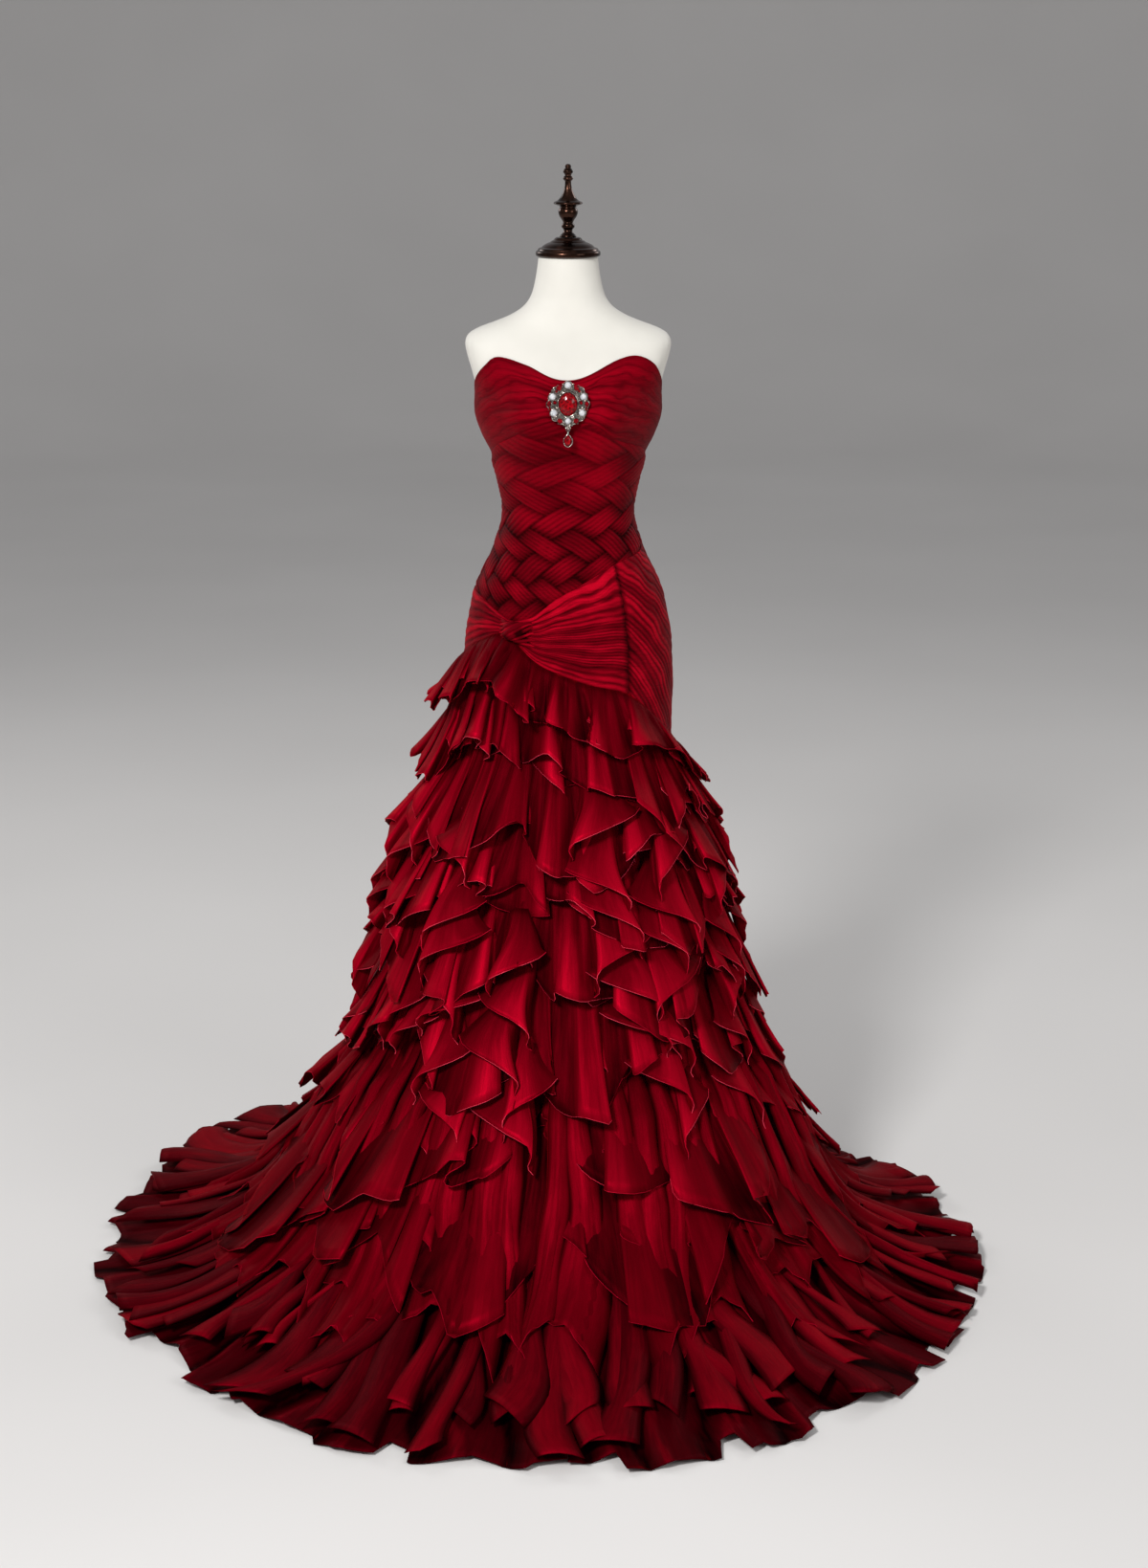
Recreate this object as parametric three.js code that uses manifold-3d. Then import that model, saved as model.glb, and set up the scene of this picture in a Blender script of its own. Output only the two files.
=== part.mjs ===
// A strapless mermaid gown with a woven midriff, hip drapes, eight ruffle tiers and a
// round train, worn by a limbless dress form on a stand. Millimetres, +Z up, the front
// faces -Y, and the origin is the middle of the stand's foot on the floor.
import * as THREE from "three";
import { mergeVertices } from "three/addons/utils/BufferGeometryUtils.js";
import Module from "manifold-3d";

const wasm = await Module();
wasm.setup();

// Driving dimensions
const CLOTH = 2; // wall thickness of one layer of cloth
const EASE = 1; // gap from the form to the fitted cloth
const SEAM = 0.4; // gap between pieces that are sewn together
const DEG = Math.PI / 180;
const TURN = 2 * Math.PI;

const FORM_BOTTOM = 800;
const NECK_TOP = 1602;
const FORM_COLUMNS = 24;
const TUCKED_BELOW = 1410;
const TUCK = 2; // how far the form lies inside its own line where the gown covers it
const CUP = { x: 60, z: 1374, lift: 26, wide: 40, tall: 44 };

const POLE_RADIUS = 14;
const FOOT = { radius: 125, edge: 8, crown: 22 };

const SKIRT_TOP = 900; // where the flare of the skirt starts
const YOKE_BOTTOM = 360; // seam between the skirt yoke and the train flounce
const TRAIN_FOLDS = 42;
const TRAIN_PANELS = 6;

const WEAVE = { band: 34, slope: 33 * DEG, relief: 2.6 };

// The form's own surface, a row for each height. Columns: z, half width at the side,
// depth to the front and to the back, and how square the section is (2 is an ellipse).
const BODY = [
  { z: 1602, side: 44.5, front: 43, back: 45, square: 2 },
  { z: 1571, side: 49, front: 44, back: 47, square: 2 },
  { z: 1545, side: 56, front: 45, back: 50, square: 2 },
  { z: 1528, side: 68, front: 46, back: 53, square: 2.1 },
  { z: 1515, side: 88, front: 47, back: 57, square: 2.2 },
  { z: 1505, side: 112, front: 49, back: 60, square: 2.3 },
  { z: 1497, side: 134, front: 52, back: 63, square: 2.5 },
  { z: 1488, side: 150, front: 57, back: 66, square: 2.7 },
  { z: 1477, side: 156, front: 64, back: 71, square: 2.9 },
  { z: 1460, side: 154, front: 75, back: 77, square: 2.8 },
  { z: 1435, side: 147, front: 88, back: 82, square: 2.6 },
  { z: 1420, side: 143, front: 93, back: 83, square: 2.4 },
  { z: 1406, side: 140, front: 97, back: 84, square: 2.3 },
  { z: 1368, side: 140, front: 101, back: 86, square: 2.2 },
  { z: 1335, side: 129, front: 97, back: 84, square: 2.1 },
  { z: 1309, side: 116, front: 91, back: 80, square: 2.1 },
  { z: 1284, side: 110, front: 85, back: 76, square: 2.1 },
  { z: 1253, side: 101.5, front: 79, back: 71, square: 2.1 },
  { z: 1228, side: 97.5, front: 76, back: 68, square: 2.1 },
  { z: 1208, side: 97.5, front: 76, back: 69, square: 2.1 },
  { z: 1190, side: 102.5, front: 78, back: 73, square: 2.1 },
  { z: 1160, side: 113, front: 83, back: 83, square: 2.1 },
  { z: 1123, side: 131, front: 91, back: 95, square: 2.1 },
  { z: 1091, side: 144, front: 96, back: 104, square: 2.1 },
  { z: 1064, side: 150, front: 99, back: 110, square: 2.1 },
  { z: 1036, side: 155, front: 101, back: 115, square: 2.1 },
  { z: 1000, side: 159, front: 102, back: 118, square: 2.1 },
  { z: 920, side: 160, front: 102, back: 114, square: 2.1 },
  { z: 800, side: 154, front: 100, back: 105, square: 2.1 },
];

// Heights of the seams round the gown. Azimuth 0 is the centre front, 90 is the
// viewer's right, and each line closes on itself at the centre back.
const NECKLINE = [
  { at: -180, z: 1388 },
  { at: -130, z: 1392 },
  { at: -90, z: 1405 },
  { at: -70, z: 1425 },
  { at: -51, z: 1445 },
  { at: -36, z: 1459 },
  { at: -17, z: 1448 },
  { at: -6, z: 1431 },
  { at: 0, z: 1427 },
  { at: 6, z: 1432 },
  { at: 21, z: 1455 },
  { at: 34, z: 1461 },
  { at: 52, z: 1449 },
  { at: 70, z: 1427 },
  { at: 90, z: 1405 },
  { at: 130, z: 1392 },
];
const UNDERBUST = [
  { at: -180, z: 1300 },
  { at: -90, z: 1306 },
  { at: -45, z: 1335 },
  { at: -20, z: 1359 },
  { at: -5, z: 1368 },
  { at: 5, z: 1367 },
  { at: 16, z: 1360 },
  { at: 30, z: 1340 },
  { at: 60, z: 1322 },
  { at: 90, z: 1308 },
];
const HIP_TOP = [
  { at: -180, z: 1130 },
  { at: -90, z: 1098 },
  { at: -60, z: 1087 },
  { at: -40, z: 1066 },
  { at: -31, z: 1060 },
  { at: -19, z: 1069 },
  { at: -5, z: 1098 },
  { at: 30, z: 1141 },
  { at: 73, z: 1160 },
  { at: 90, z: 1172 },
  { at: 130, z: 1160 },
];
const HIP_BOTTOM = [
  { at: -180, z: 900 },
  { at: -130, z: 945 },
  { at: -90, z: 986 },
  { at: -53, z: 1028 },
  { at: -40, z: 1038 },
  { at: -31, z: 1032 },
  { at: -17, z: 998 },
  { at: -4, z: 979 },
  { at: 9, z: 964 },
  { at: 33, z: 945 },
  { at: 56, z: 900 },
  { at: 80, z: 856 },
  { at: 100, z: 846 },
  { at: 140, z: 858 },
];
// How far the hem reaches over the floor from the form's axis.
const HEM = [
  { at: -180, z: 650 },
  { at: -150, z: 700 },
  { at: -121, z: 762 },
  { at: -90, z: 776 },
  { at: -60, z: 768 },
  { at: -30, z: 780 },
  { at: 0, z: 772 },
  { at: 30, z: 752 },
  { at: 58, z: 706 },
  { at: 75, z: 682 },
  { at: 90, z: 664 },
  { at: 114, z: 628 },
  { at: 135, z: 595 },
  { at: 158, z: 605 },
];

// The skirt's slope. Columns: height of its inner face, share of the way from the hip
// out to the hem, and depth of the train's folds there.
const SLOPE = [
  { z: 900, out: 0, fold: 0 },
  { z: 840, out: 0.014, fold: 0 },
  { z: 780, out: 0.044, fold: 0 },
  { z: 640, out: 0.115, fold: 0 },
  { z: 500, out: 0.17, fold: 0 },
  { z: 360, out: 0.23, fold: 0 },
  { z: 250, out: 0.32, fold: 8 },
  { z: 140, out: 0.44, fold: 13 },
  { z: 60, out: 0.59, fold: 16 },
  { z: 14, out: 0.76, fold: 16 },
  { z: 0, out: 0.9, fold: 14 },
  { z: 0, out: 1, fold: 12 },
];

// The ruffle tiers. Columns: number of folds, height of the free edge, how much of the
// hip line's slant it keeps, fold depth, height of the points, where the folds start, and
// the gap from the skirt to the sewn edge.
const TIERS = [
  { folds: 9, edge: 878, slant: 0.9, depth: 14, point: 12, start: 0.2, gap: 1.2 },
  { folds: 11, edge: 796, slant: 0.72, depth: 17, point: 20, start: 0.6, gap: 1.6 },
  { folds: 11, edge: 712, slant: 0.52, depth: 18, point: 24, start: 0.1, gap: 3.6 },
  { folds: 12, edge: 622, slant: 0.32, depth: 18, point: 26, start: 0.8, gap: 1.3 },
  { folds: 12, edge: 522, slant: 0.18, depth: 19, point: 28, start: 0.4, gap: 1.2 },
  { folds: 13, edge: 412, slant: 0.08, depth: 19, point: 30, start: 0.9, gap: 1.3 },
  { folds: 13, edge: 298, slant: 0, depth: 19, point: 32, start: 0.3, gap: 2.6 },
  { folds: 14, edge: 176, slant: 0, depth: 18, point: 32, start: 0.7, gap: 2.6 },
];
const TIER_PIECES = 3;
const LAP = 14; // how far a tier's free edge hangs over the next tier's sewn edge
const STAND = 28; // how far a tier's free edge stands off the skirt
const HIP_REACH = 200; // a ruffle's mean reach at its sewn edge
const BOX_FOLD = 0.05; // how far a fold's sides lean in, as a share of its width
const YOKE_GAP = 1.4; // from the hip seam to the skirt yoke under it
const SWELL = 1.25; // the deepest train fold over the mean one
const TRAIN_REACH = 600; // the train's mean reach beyond the hip
const HIP_MEAN = 930; // the hip line's mean height, which the slant is counted from

const RED = 0x8a0012;
const FINISH = {
  chiffon: { color: RED, roughness: 0.55, metalness: 0 },
  organza: { color: 0x9a0416, roughness: 0.4, metalness: 0 },
  form: { color: 0xf2f0ea, roughness: 0.7, metalness: 0 },
  bronze: { color: 0x3a2418, roughness: 0.25, metalness: 0.9 },
  steel: { color: 0x8c8c8c, roughness: 0.3, metalness: 1 },
  silver: { color: 0xd8d4cc, roughness: 0.15, metalness: 1 },
  ruby: { color: 0xb00018, roughness: 0.05, metalness: 0 },
};

// Smooth curve through a table's values. Keys run upwards, or round a circle.
function smooth(rows, key, column, at) {
  let i = 0;
  while (i < rows.length - 2 && at > rows[i + 1][key]) i++;
  const a = rows[i];
  const b = rows[i + 1];
  const before = rows[Math.max(0, i - 1)];
  const after = rows[Math.min(rows.length - 1, i + 2)];
  const h = b[key] - a[key];
  const slopeA = ((b[column] - before[column]) / (b[key] - before[key])) * h;
  const slopeB = ((after[column] - a[column]) / (after[key] - a[key])) * h;
  const x = Math.min(1, Math.max(0, (at - a[key]) / h));
  const x2 = x * x;
  const x3 = x2 * x;
  return (
    a[column] * (2 * x3 - 3 * x2 + 1) +
    slopeA * (x3 - 2 * x2 + x) +
    b[column] * (3 * x2 - 2 * x3) +
    slopeB * (x3 - x2)
  );
}

// The same table carried past both ends, so that its curve has no corner at the back.
function ring(rows) {
  const wrap = (row, turns) => ({ ...row, at: row.at + 360 * turns });
  return [
    ...rows.slice(-3).map((row) => wrap(row, -1)),
    ...rows,
    ...rows.slice(0, 3).map((row) => wrap(row, 1)),
  ];
}
const LINES = {
  neckline: ring(NECKLINE),
  underbust: ring(UNDERBUST),
  hipTop: ring(HIP_TOP),
  hipBottom: ring(HIP_BOTTOM),
  hem: ring(HEM),
};
function around(line, t) {
  let degrees = t / DEG;
  while (degrees < -180) degrees += 360;
  while (degrees >= 180) degrees -= 360;
  return smooth(LINES[line], "at", "z", degrees);
}

const BODY_UP = [...BODY].reverse();

function section(z) {
  const at = (column) => smooth(BODY_UP, "z", column, z);
  return { side: at("side"), front: at("front"), back: at("back"), square: at("square") };
}

// A point of the form's surface at azimuth t and height z, pushed outwards by lift.
function skin(t, z, lift) {
  const s = section(z);
  const sin = Math.sin(t);
  const cos = Math.cos(t);
  const depth = cos > 0 ? s.front : s.back;
  const power = 2 / s.square;
  const x = s.side * Math.sign(sin) * Math.abs(sin) ** power;
  const y = -depth * Math.sign(cos) * Math.abs(cos) ** power;
  const nx = Math.sign(x) * Math.abs(x / s.side) ** (s.square - 1) / s.side;
  const ny = Math.sign(y) * Math.abs(y / depth) ** (s.square - 1) / depth;
  const n = Math.hypot(nx, ny);
  const cup = cos > 0 ? CUP.lift * cupShape(x, z) : 0;
  return new THREE.Vector3(x + (nx / n) * lift, y + (ny / n) * lift - cup, z);
}
function cupShape(x, z) {
  const rise = ((z - CUP.z) / CUP.tall) ** 2;
  const left = Math.exp(-(((x + CUP.x) / CUP.wide) ** 2) - rise);
  const right = Math.exp(-(((x - CUP.x) / CUP.wide) ** 2) - rise);
  return left + right;
}

// A point of the skirt: share s of the slope from the hip to the hem.
const SLOPE_LENGTHS = SLOPE.map((row, i) => {
  let sum = 0;
  for (let k = 1; k <= i; k++) {
    const dz = SLOPE[k].z - SLOPE[k - 1].z;
    const dr = (SLOPE[k].out - SLOPE[k - 1].out) * TRAIN_REACH;
    sum += Math.hypot(dz, dr);
  }
  return sum;
});
const SLOPE_ROWS = SLOPE.map((row, i) => ({ ...row, s: SLOPE_LENGTHS[i] / SLOPE_LENGTHS.at(-1) }));
function slopeAt(s) {
  const at = (column) => smooth(SLOPE_ROWS, "s", column, s);
  return { z: Math.max(0, at("z")), out: at("out"), fold: Math.max(0, at("fold")) };
}
function shareAt(z) {
  let low = 0;
  let high = 1;
  for (let i = 0; i < 30; i++) {
    const mid = (low + high) / 2;
    if (slopeAt(mid).z > z) low = mid;
    else high = mid;
  }
  return low;
}
function flare(t, out, lift) {
  const hip = skin(t, SKIRT_TOP, EASE);
  const reach = around("hem", t);
  const x = hip.x + (reach * Math.sin(t) - hip.x) * out + lift * Math.sin(t);
  const y = hip.y + (-reach * Math.cos(t) - hip.y) * out - lift * Math.cos(t);
  return [x, y];
}
// The skirt's surface at a height, below or above the start of its flare.
function skirt(t, z, lift) {
  if (z >= SKIRT_TOP) {
    const p = skin(t, z, EASE);
    p.x += lift * Math.sin(t);
    p.y -= lift * Math.cos(t);
    return p;
  }
  const row = slopeAt(shareAt(z));
  const [x, y] = flare(t, row.out, lift + row.fold * SWELL);
  return new THREE.Vector3(x, y, z);
}

// One closed wall between an outer and an inner grid of points. Both have the same
// columns, and the inner one may have fewer rows.
function wall(outer, inner) {
  const columns = outer.length - 1;
  const points = [];
  const put = (grid) => grid.map((column) => column.map((p) => points.push(p) - 1));
  const out = put(outer);
  const inn = put(inner);
  const faces = [];
  const quads = (grid, flip) => {
    for (let i = 0; i < columns; i++)
      for (let j = 0; j < grid[i].length - 1; j++) {
        const [a, b, c, d] = [grid[i][j], grid[i + 1][j], grid[i + 1][j + 1], grid[i][j + 1]];
        if (flip) faces.push(a, b, c, a, c, d);
        else faces.push(a, c, b, a, d, c);
      }
  };
  quads(out, false);
  quads(inn, true);
  for (let i = 0; i < columns; i++) {
    faces.push(out[i][0], out[i + 1][0], inn[i + 1][0], out[i][0], inn[i + 1][0], inn[i][0]);
    const [a, b] = [out[i].at(-1), out[i + 1].at(-1)];
    const [c, d] = [inn[i + 1].at(-1), inn[i].at(-1)];
    faces.push(a, c, b, a, d, c);
  }
  zip(out[0], inn[0], faces, false);
  zip(out[columns], inn[columns], faces, true);
  const geometry = new THREE.BufferGeometry();
  const flat = new Float32Array(points.flatMap((p) => [p.x, p.y, p.z]));
  geometry.setAttribute("position", new THREE.BufferAttribute(flat, 3));
  geometry.setIndex(faces);
  return geometry;
}
// Triangles between two side edges whose counts of points may differ.
function zip(a, b, faces, flip) {
  let i = 0;
  let j = 0;
  while (i < a.length - 1 || j < b.length - 1) {
    const stepA = (i + 1) / (a.length - 1);
    const stepB = (j + 1) / (b.length - 1);
    const alongA = j === b.length - 1 || (i < a.length - 1 && stepA <= stepB);
    const face = alongA ? [a[i], b[j], a[i + 1]] : [a[i], b[j], b[j + 1]];
    if (flip) face.reverse();
    faces.push(...face);
    if (alongA) i++;
    else j++;
  }
}
function grid(columns, rows, point) {
  const shares = typeof rows === "number" ? even(rows) : rows;
  return even(columns).map((u) => shares.map((v) => point(u, v)));
}
function even(count) {
  return Array.from({ length: count + 1 }, (_, i) => i / count);
}

const gown = new THREE.Group();
function add(name, geometry, finish, parent = gown) {
  const mesh = new THREE.Mesh(geometry, new THREE.MeshStandardMaterial(FINISH[finish]));
  mesh.name = name;
  parent.add(mesh);
  return mesh;
}

// A fitted panel. place(u, v) gives [azimuth, height], and relief(u, v) what is raised.
function fitted(name, place, relief, columns, rows, innerRows) {
  const outer = grid(columns, rows, (u, v) => {
    const [t, z] = place(u, v);
    return skin(t, z, EASE + CLOTH + relief(u, v, t, z));
  });
  const inner = grid(columns, innerRows, (u, v) => skin(...place(u, v), EASE));
  add(name, wall(outer, inner), "chiffon");
}
const mix = (a, b, x) => a + (b - a) * x;

// The seam gap as an angle, at the fitted part's mean radius.
const SEAM_TURN = SEAM / 2 / 120;
const SIDE = 90 * DEG;
const FAN_SEAM = 34 * DEG;
const KNOT_HALF = 2 * DEG;
const KNOT_GAP = -0.1; // from the drapes' line to the back of the knot
const DRAPE_GAP = 0.9; // from the woven midriff to the drapes' upper edge
const BUST_COLUMNS = 14;
const KNOT_AT = -31 * DEG;
const between = (from, to, u) => mix(from + SEAM_TURN, to - SEAM_TURN, u);

// Ruched cups, whose folds run out from under the brooch.
function bust() {
  const folds = 4;
  const depth = 1.8;
  for (const [name, from, to] of [["bust_left", -SIDE, 0], ["bust_right", 0, SIDE]]) {
    const place = (u, v) => {
      const t = between(from, to, u);
      return [t, mix(around("neckline", t), around("underbust", t) + SEAM, v)];
    };
    const relief = (u, v) => {
      const away = name === "bust_left" ? 1 - u : u;
      const swell = Math.sin(Math.PI * Math.min(1, away + 0.15)) ** 2;
      return depth * swell * (0.5 - 0.5 * Math.cos(TURN * folds * v));
    };
    fitted(name, place, relief, BUST_COLUMNS, 12, 8);
  }
}

// Height of the woven bands over the midriff at arc x and height z.
function weave(x, z) {
  const { band, slope, relief } = WEAVE;
  const first = (x * Math.sin(slope) + z * Math.cos(slope)) / band;
  const second = (-x * Math.sin(slope) + z * Math.cos(slope)) / band;
  const crown = (p) => Math.sin(Math.PI * (p - Math.floor(p))) ** 0.5;
  const over = (Math.floor(first) + Math.floor(second)) % 2 === 0;
  const across = over ? crown(first) : crown(second);
  const along = over ? crown(second) : crown(first);
  return relief * (0.25 + 0.75 * across) * (0.6 + 0.4 * along);
}
function midriff() {
  const place = (u, v) => {
    const t = between(-SIDE, SIDE, u);
    return [t, mix(around("underbust", t), around("hipTop", t) + SEAM, v)];
  };
  const relief = (u, v, t, z) => {
    const edge = Math.min(1, 8 * v, 8 * (1 - v));
    return edge * weave(section(z).side * t * 0.9, z);
  };
  fitted("midriff_front", place, relief, 2 * BUST_COLUMNS, 18, 10);
}

// The plain back, in two halves that meet at the centre back seam.
function backs() {
  for (const [name, from, to] of [["back_left", -2 * SIDE, -SIDE], ["back_right", SIDE, 2 * SIDE]]) {
    const place = (u, v) => {
      const t = between(from, to, u);
      return [t, mix(around("neckline", t), around("hipBottom", t), v)];
    };
    fitted(name, place, () => 0, 10, 14, 16);
  }
}

// Hip drapes: two fans of pleats drawn into the knot, and the ruched side panel.
function hips() {
  const depth = 2.2;
  const fans = [
    { name: "hip_fan_left", from: -SIDE, to: KNOT_AT - KNOT_HALF, folds: 4, knot: "end" },
    { name: "hip_fan_right", from: KNOT_AT + KNOT_HALF, to: FAN_SEAM, folds: 5, knot: "start" },
    { name: "hip_side_right", from: FAN_SEAM, to: SIDE, folds: 5, knot: "none" },
  ];
  for (const fan of fans) {
    const place = (u, v) => {
      const t = between(fan.from, fan.to, u);
      return [t, mix(around("hipTop", t) - DRAPE_GAP, around("hipBottom", t), v)];
    };
    const relief = (u, v) => {
      const away = fan.knot === "end" ? 1 - u : fan.knot === "start" ? u : 1;
      return depth * Math.min(1, 0.35 + away) * (0.5 - 0.5 * Math.cos(TURN * fan.folds * v));
    };
    fitted(fan.name, place, relief, 8, 3 * fan.folds, 7);
  }
}

// The knot where both fans meet: a twisted, waisted oval.
function knot() {
  const size = { long: 19, high: 13, deep: 7 };
  const centreZ = 1046;
  const seat = skin(KNOT_AT, centreZ, EASE + CLOTH);
  const geometry = new THREE.SphereGeometry(1, 14, 9);
  const p = geometry.attributes.position;
  for (let i = 0; i < p.count; i++) {
    const [x, y, z] = [p.getX(i), p.getY(i), p.getZ(i)];
    const groove = 1 - 0.28 * Math.exp(-((x / 0.35) ** 2));
    p.setXYZ(i, x * size.long, y * size.deep * groove, z * size.high * groove);
  }
  const mesh = add("hip_knot", tidy(geometry), "chiffon");
  mesh.rotation.set(0, 0.5, KNOT_AT * 0.8, "ZYX");
  const out = new THREE.Vector3(Math.sin(KNOT_AT), -Math.cos(KNOT_AT), 0);
  mesh.position.copy(seat).addScaledVector(out, size.deep + KNOT_GAP);
}
function tidy(geometry) {
  geometry.deleteAttribute("normal");
  geometry.deleteAttribute("uv");
  return mergeVertices(geometry, 1e-4);
}

// The skirt yoke under the ruffles, in four plain panels.
function yoke() {
  const panels = 4;
  const rows = [0, 0.08, 0.17, 0.3, 0.47, 0.65, 0.83, 1];
  for (let k = 0; k < panels; k++) {
    const from = -Math.PI + (k * TURN) / panels;
    const place = (lift) => (u, v) => {
      const t = between(from, from + TURN / panels, u);
      const z = mix(around("hipBottom", t) - YOKE_GAP, YOKE_BOTTOM + SEAM, v);
      return skirt(t, z, lift);
    };
    const geometry = wall(grid(8, rows, place(CLOTH)), grid(8, rows, place(0)));
    add(`skirt_yoke_${k + 1}`, geometry, "chiffon");
  }
}

// The train: folds that grow from the yoke seam and spread over the floor.
const TRAIN_START = SLOPE_ROWS.find((row) => row.z === YOKE_BOTTOM).s;
function train(q, s, lift) {
  const t = -Math.PI + (TURN * q) / TRAIN_FOLDS;
  const row = slopeAt(s);
  const step = 0.01;
  const [before, after] = [slopeAt(s - step), slopeAt(Math.min(1, s + step))];
  const run = (after.out - before.out) * TRAIN_REACH;
  const up = run / Math.hypot(run, before.z - after.z);
  const wave = 0.5 - 0.5 * Math.cos(TURN * q);
  const off = lift + row.fold * wave * (1 + (SWELL - 1) * Math.sin(5 * t));
  const [x, y] = flare(t, row.out, off * (1 - up));
  return new THREE.Vector3(x, y, row.z + off * up);
}
function trains() {
  const perPanel = TRAIN_FOLDS / TRAIN_PANELS;
  const gap = 0.004;
  const columns = 2 * perPanel;
  const start = TRAIN_START + 0.0009;
  for (let k = 0; k < TRAIN_PANELS; k++) {
    const place = (lift) => (u, v) => {
      const q = mix(k * perPanel + gap, (k + 1) * perPanel - gap, u);
      return train(q, mix(start, 1, v), lift);
    };
    const rows = [0, 0.13, 0.28, 0.45, 0.62, 0.82, 1];
    const geometry = wall(grid(columns, rows, place(CLOTH)), grid(columns, rows, place(0)));
    add(`train_panel_${k + 1}`, geometry, "organza");
  }
}

// Height of tier k's free edge at azimuth t, before its points.
function tierEdge(k, t) {
  return TIERS[k].edge + TIERS[k].slant * (around("hipBottom", t) - HIP_MEAN);
}
// The middle of a ruffle's cloth at fold q and share v from the sewn to the free edge.
function ruffle(k, q, v) {
  const tier = TIERS[k];
  const turn = (TURN * q) / tier.folds;
  const seed = TURN * tier.start;
  const phase = TURN * q;
  const uneven = 0.05 * Math.sin(3 * turn + seed) + 0.025 * Math.sin(7 * turn + 2 * seed);
  const flute = ((BOX_FOLD * TURN) / tier.folds) * v * Math.sin(2 * phase);
  const t = -Math.PI + turn + seed / tier.folds + uneven + flute;
  const fullness = 1 - 0.42 * Math.max(0, Math.sin(t)) ** 2;
  const varied = 1 + 0.22 * Math.sin(5 * turn + seed) + 0.18 * Math.sin(11 * turn - seed);
  const half = tier.depth * fullness * varied * v ** 2.4;
  const out = half * (1 - Math.cos(phase)) + STAND * fullness * v ** 0.8;
  const tips = Math.round(tier.folds * 0.6);
  const tip = Math.asin(Math.sin(tips * turn + seed)) * (2 / Math.PI);
  const top = k ? tierEdge(k - 1, t) + LAP : around("hipBottom", t) - SEAM;
  const z = mix(top, tierEdge(k, t) - tier.point * tip, v);
  return skirt(t, z, CLOTH * 1.5 + tier.gap + out);
}
function ruffleWall(k, from, to) {
  const columns = 4 * (to - from);
  const gap = (SEAM / 2 / (TURN * HIP_REACH)) * TIERS[k].folds;
  const tiny = 0.02;
  const face = (side) => (u, v) => {
    const q = mix(from + gap, to - gap, u) + 0.125;
    const p = ruffle(k, q, v);
    const along = ruffle(k, q + tiny, v).sub(ruffle(k, q - tiny, v));
    const down = ruffle(k, q, Math.min(1, v + tiny)).sub(ruffle(k, q, Math.max(0, v - tiny)));
    return p.addScaledVector(down.cross(along).normalize(), (side * CLOTH) / 2);
  };
  return wall(grid(columns, 2, face(1)), grid(columns, 2, face(-1)));
}
function ruffles() {
  TIERS.forEach((tier, k) => {
    for (let i = 0; i < TIER_PIECES; i++) {
      const from = Math.round((tier.folds * i) / TIER_PIECES);
      const to = Math.round((tier.folds * (i + 1)) / TIER_PIECES);
      add(`ruffle_${k + 1}_${i + 1}`, ruffleWall(k, from, to), "organza");
    }
  });
}

// The dress form: a closed torso from the neck down to the hips.
function form() {
  const heights = BODY.map((row) => row.z);
  const points = [];
  const faces = [];
  heights.forEach((z) => {
    for (let i = 0; i < FORM_COLUMNS; i++) {
      points.push(skin(-Math.PI + (TURN * i) / FORM_COLUMNS, z, z < TUCKED_BELOW ? -TUCK : 0));
    }
  });
  const at = (row, i) => row * FORM_COLUMNS + (i % FORM_COLUMNS);
  for (let r = 0; r < heights.length - 1; r++)
    for (let i = 0; i < FORM_COLUMNS; i++) {
      faces.push(at(r, i), at(r + 1, i), at(r + 1, i + 1), at(r, i), at(r + 1, i + 1), at(r, i + 1));
    }
  const top = points.push(new THREE.Vector3(0, 0, NECK_TOP)) - 1;
  const bottom = points.push(new THREE.Vector3(0, 0, FORM_BOTTOM)) - 1;
  const last = heights.length - 1;
  for (let i = 0; i < FORM_COLUMNS; i++) {
    faces.push(top, at(0, i), at(0, i + 1), bottom, at(last, i + 1), at(last, i));
  }
  const geometry = new THREE.BufferGeometry();
  const flat = new Float32Array(points.flatMap((p) => [p.x, p.y, p.z]));
  geometry.setAttribute("position", new THREE.BufferAttribute(flat, 3));
  geometry.setIndex(faces);
  add("form_torso", geometry, "form");
}

// Turned pieces. A profile is a list of [radius, height] from the bottom up.
function turned(name, profile, z, finish, segments = 14) {
  const points = profile.map(([r, h]) => new THREE.Vector2(r, h));
  const mesh = add(name, tidy(new THREE.LatheGeometry(points, segments)), finish);
  mesh.rotation.x = Math.PI / 2;
  mesh.position.z = z;
}
function stand() {
  const cap = [[0, 0], [47, 0], [49, 3], [49, 8], [44, 12], [40, 14], [33, 19], [21, 24], [19, 28], [0, 28]];
  turned("neck_cap", cap, NECK_TOP + SEAM, "bronze");
  const finial = [
    [0, 0], [12, 0], [9, 7], [7, 12], [9, 17], [8, 21], [13, 29], [15, 38], [12, 44],
    [22, 50], [21, 53], [12, 60], [6, 70], [5, 84], [8, 88], [5, 92], [8, 99], [4, 107], [0, 107],
  ];
  turned("finial", finial, NECK_TOP + 28 + 2 * SEAM, "bronze");
  const pole = [[0, 0], [POLE_RADIUS, 0], [POLE_RADIUS, FORM_BOTTOM - FOOT.crown - 2 * SEAM]];
  pole.push([0, FORM_BOTTOM - FOOT.crown - 2 * SEAM]);
  turned("stand_pole", pole, FOOT.crown + SEAM, "steel");
  const foot = [
    [0, 0], [FOOT.radius, 0], [FOOT.radius, FOOT.edge], [40, 14], [26, FOOT.crown], [0, FOOT.crown],
  ];
  turned("stand_foot", foot, 0, "steel", 24);
}

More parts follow.
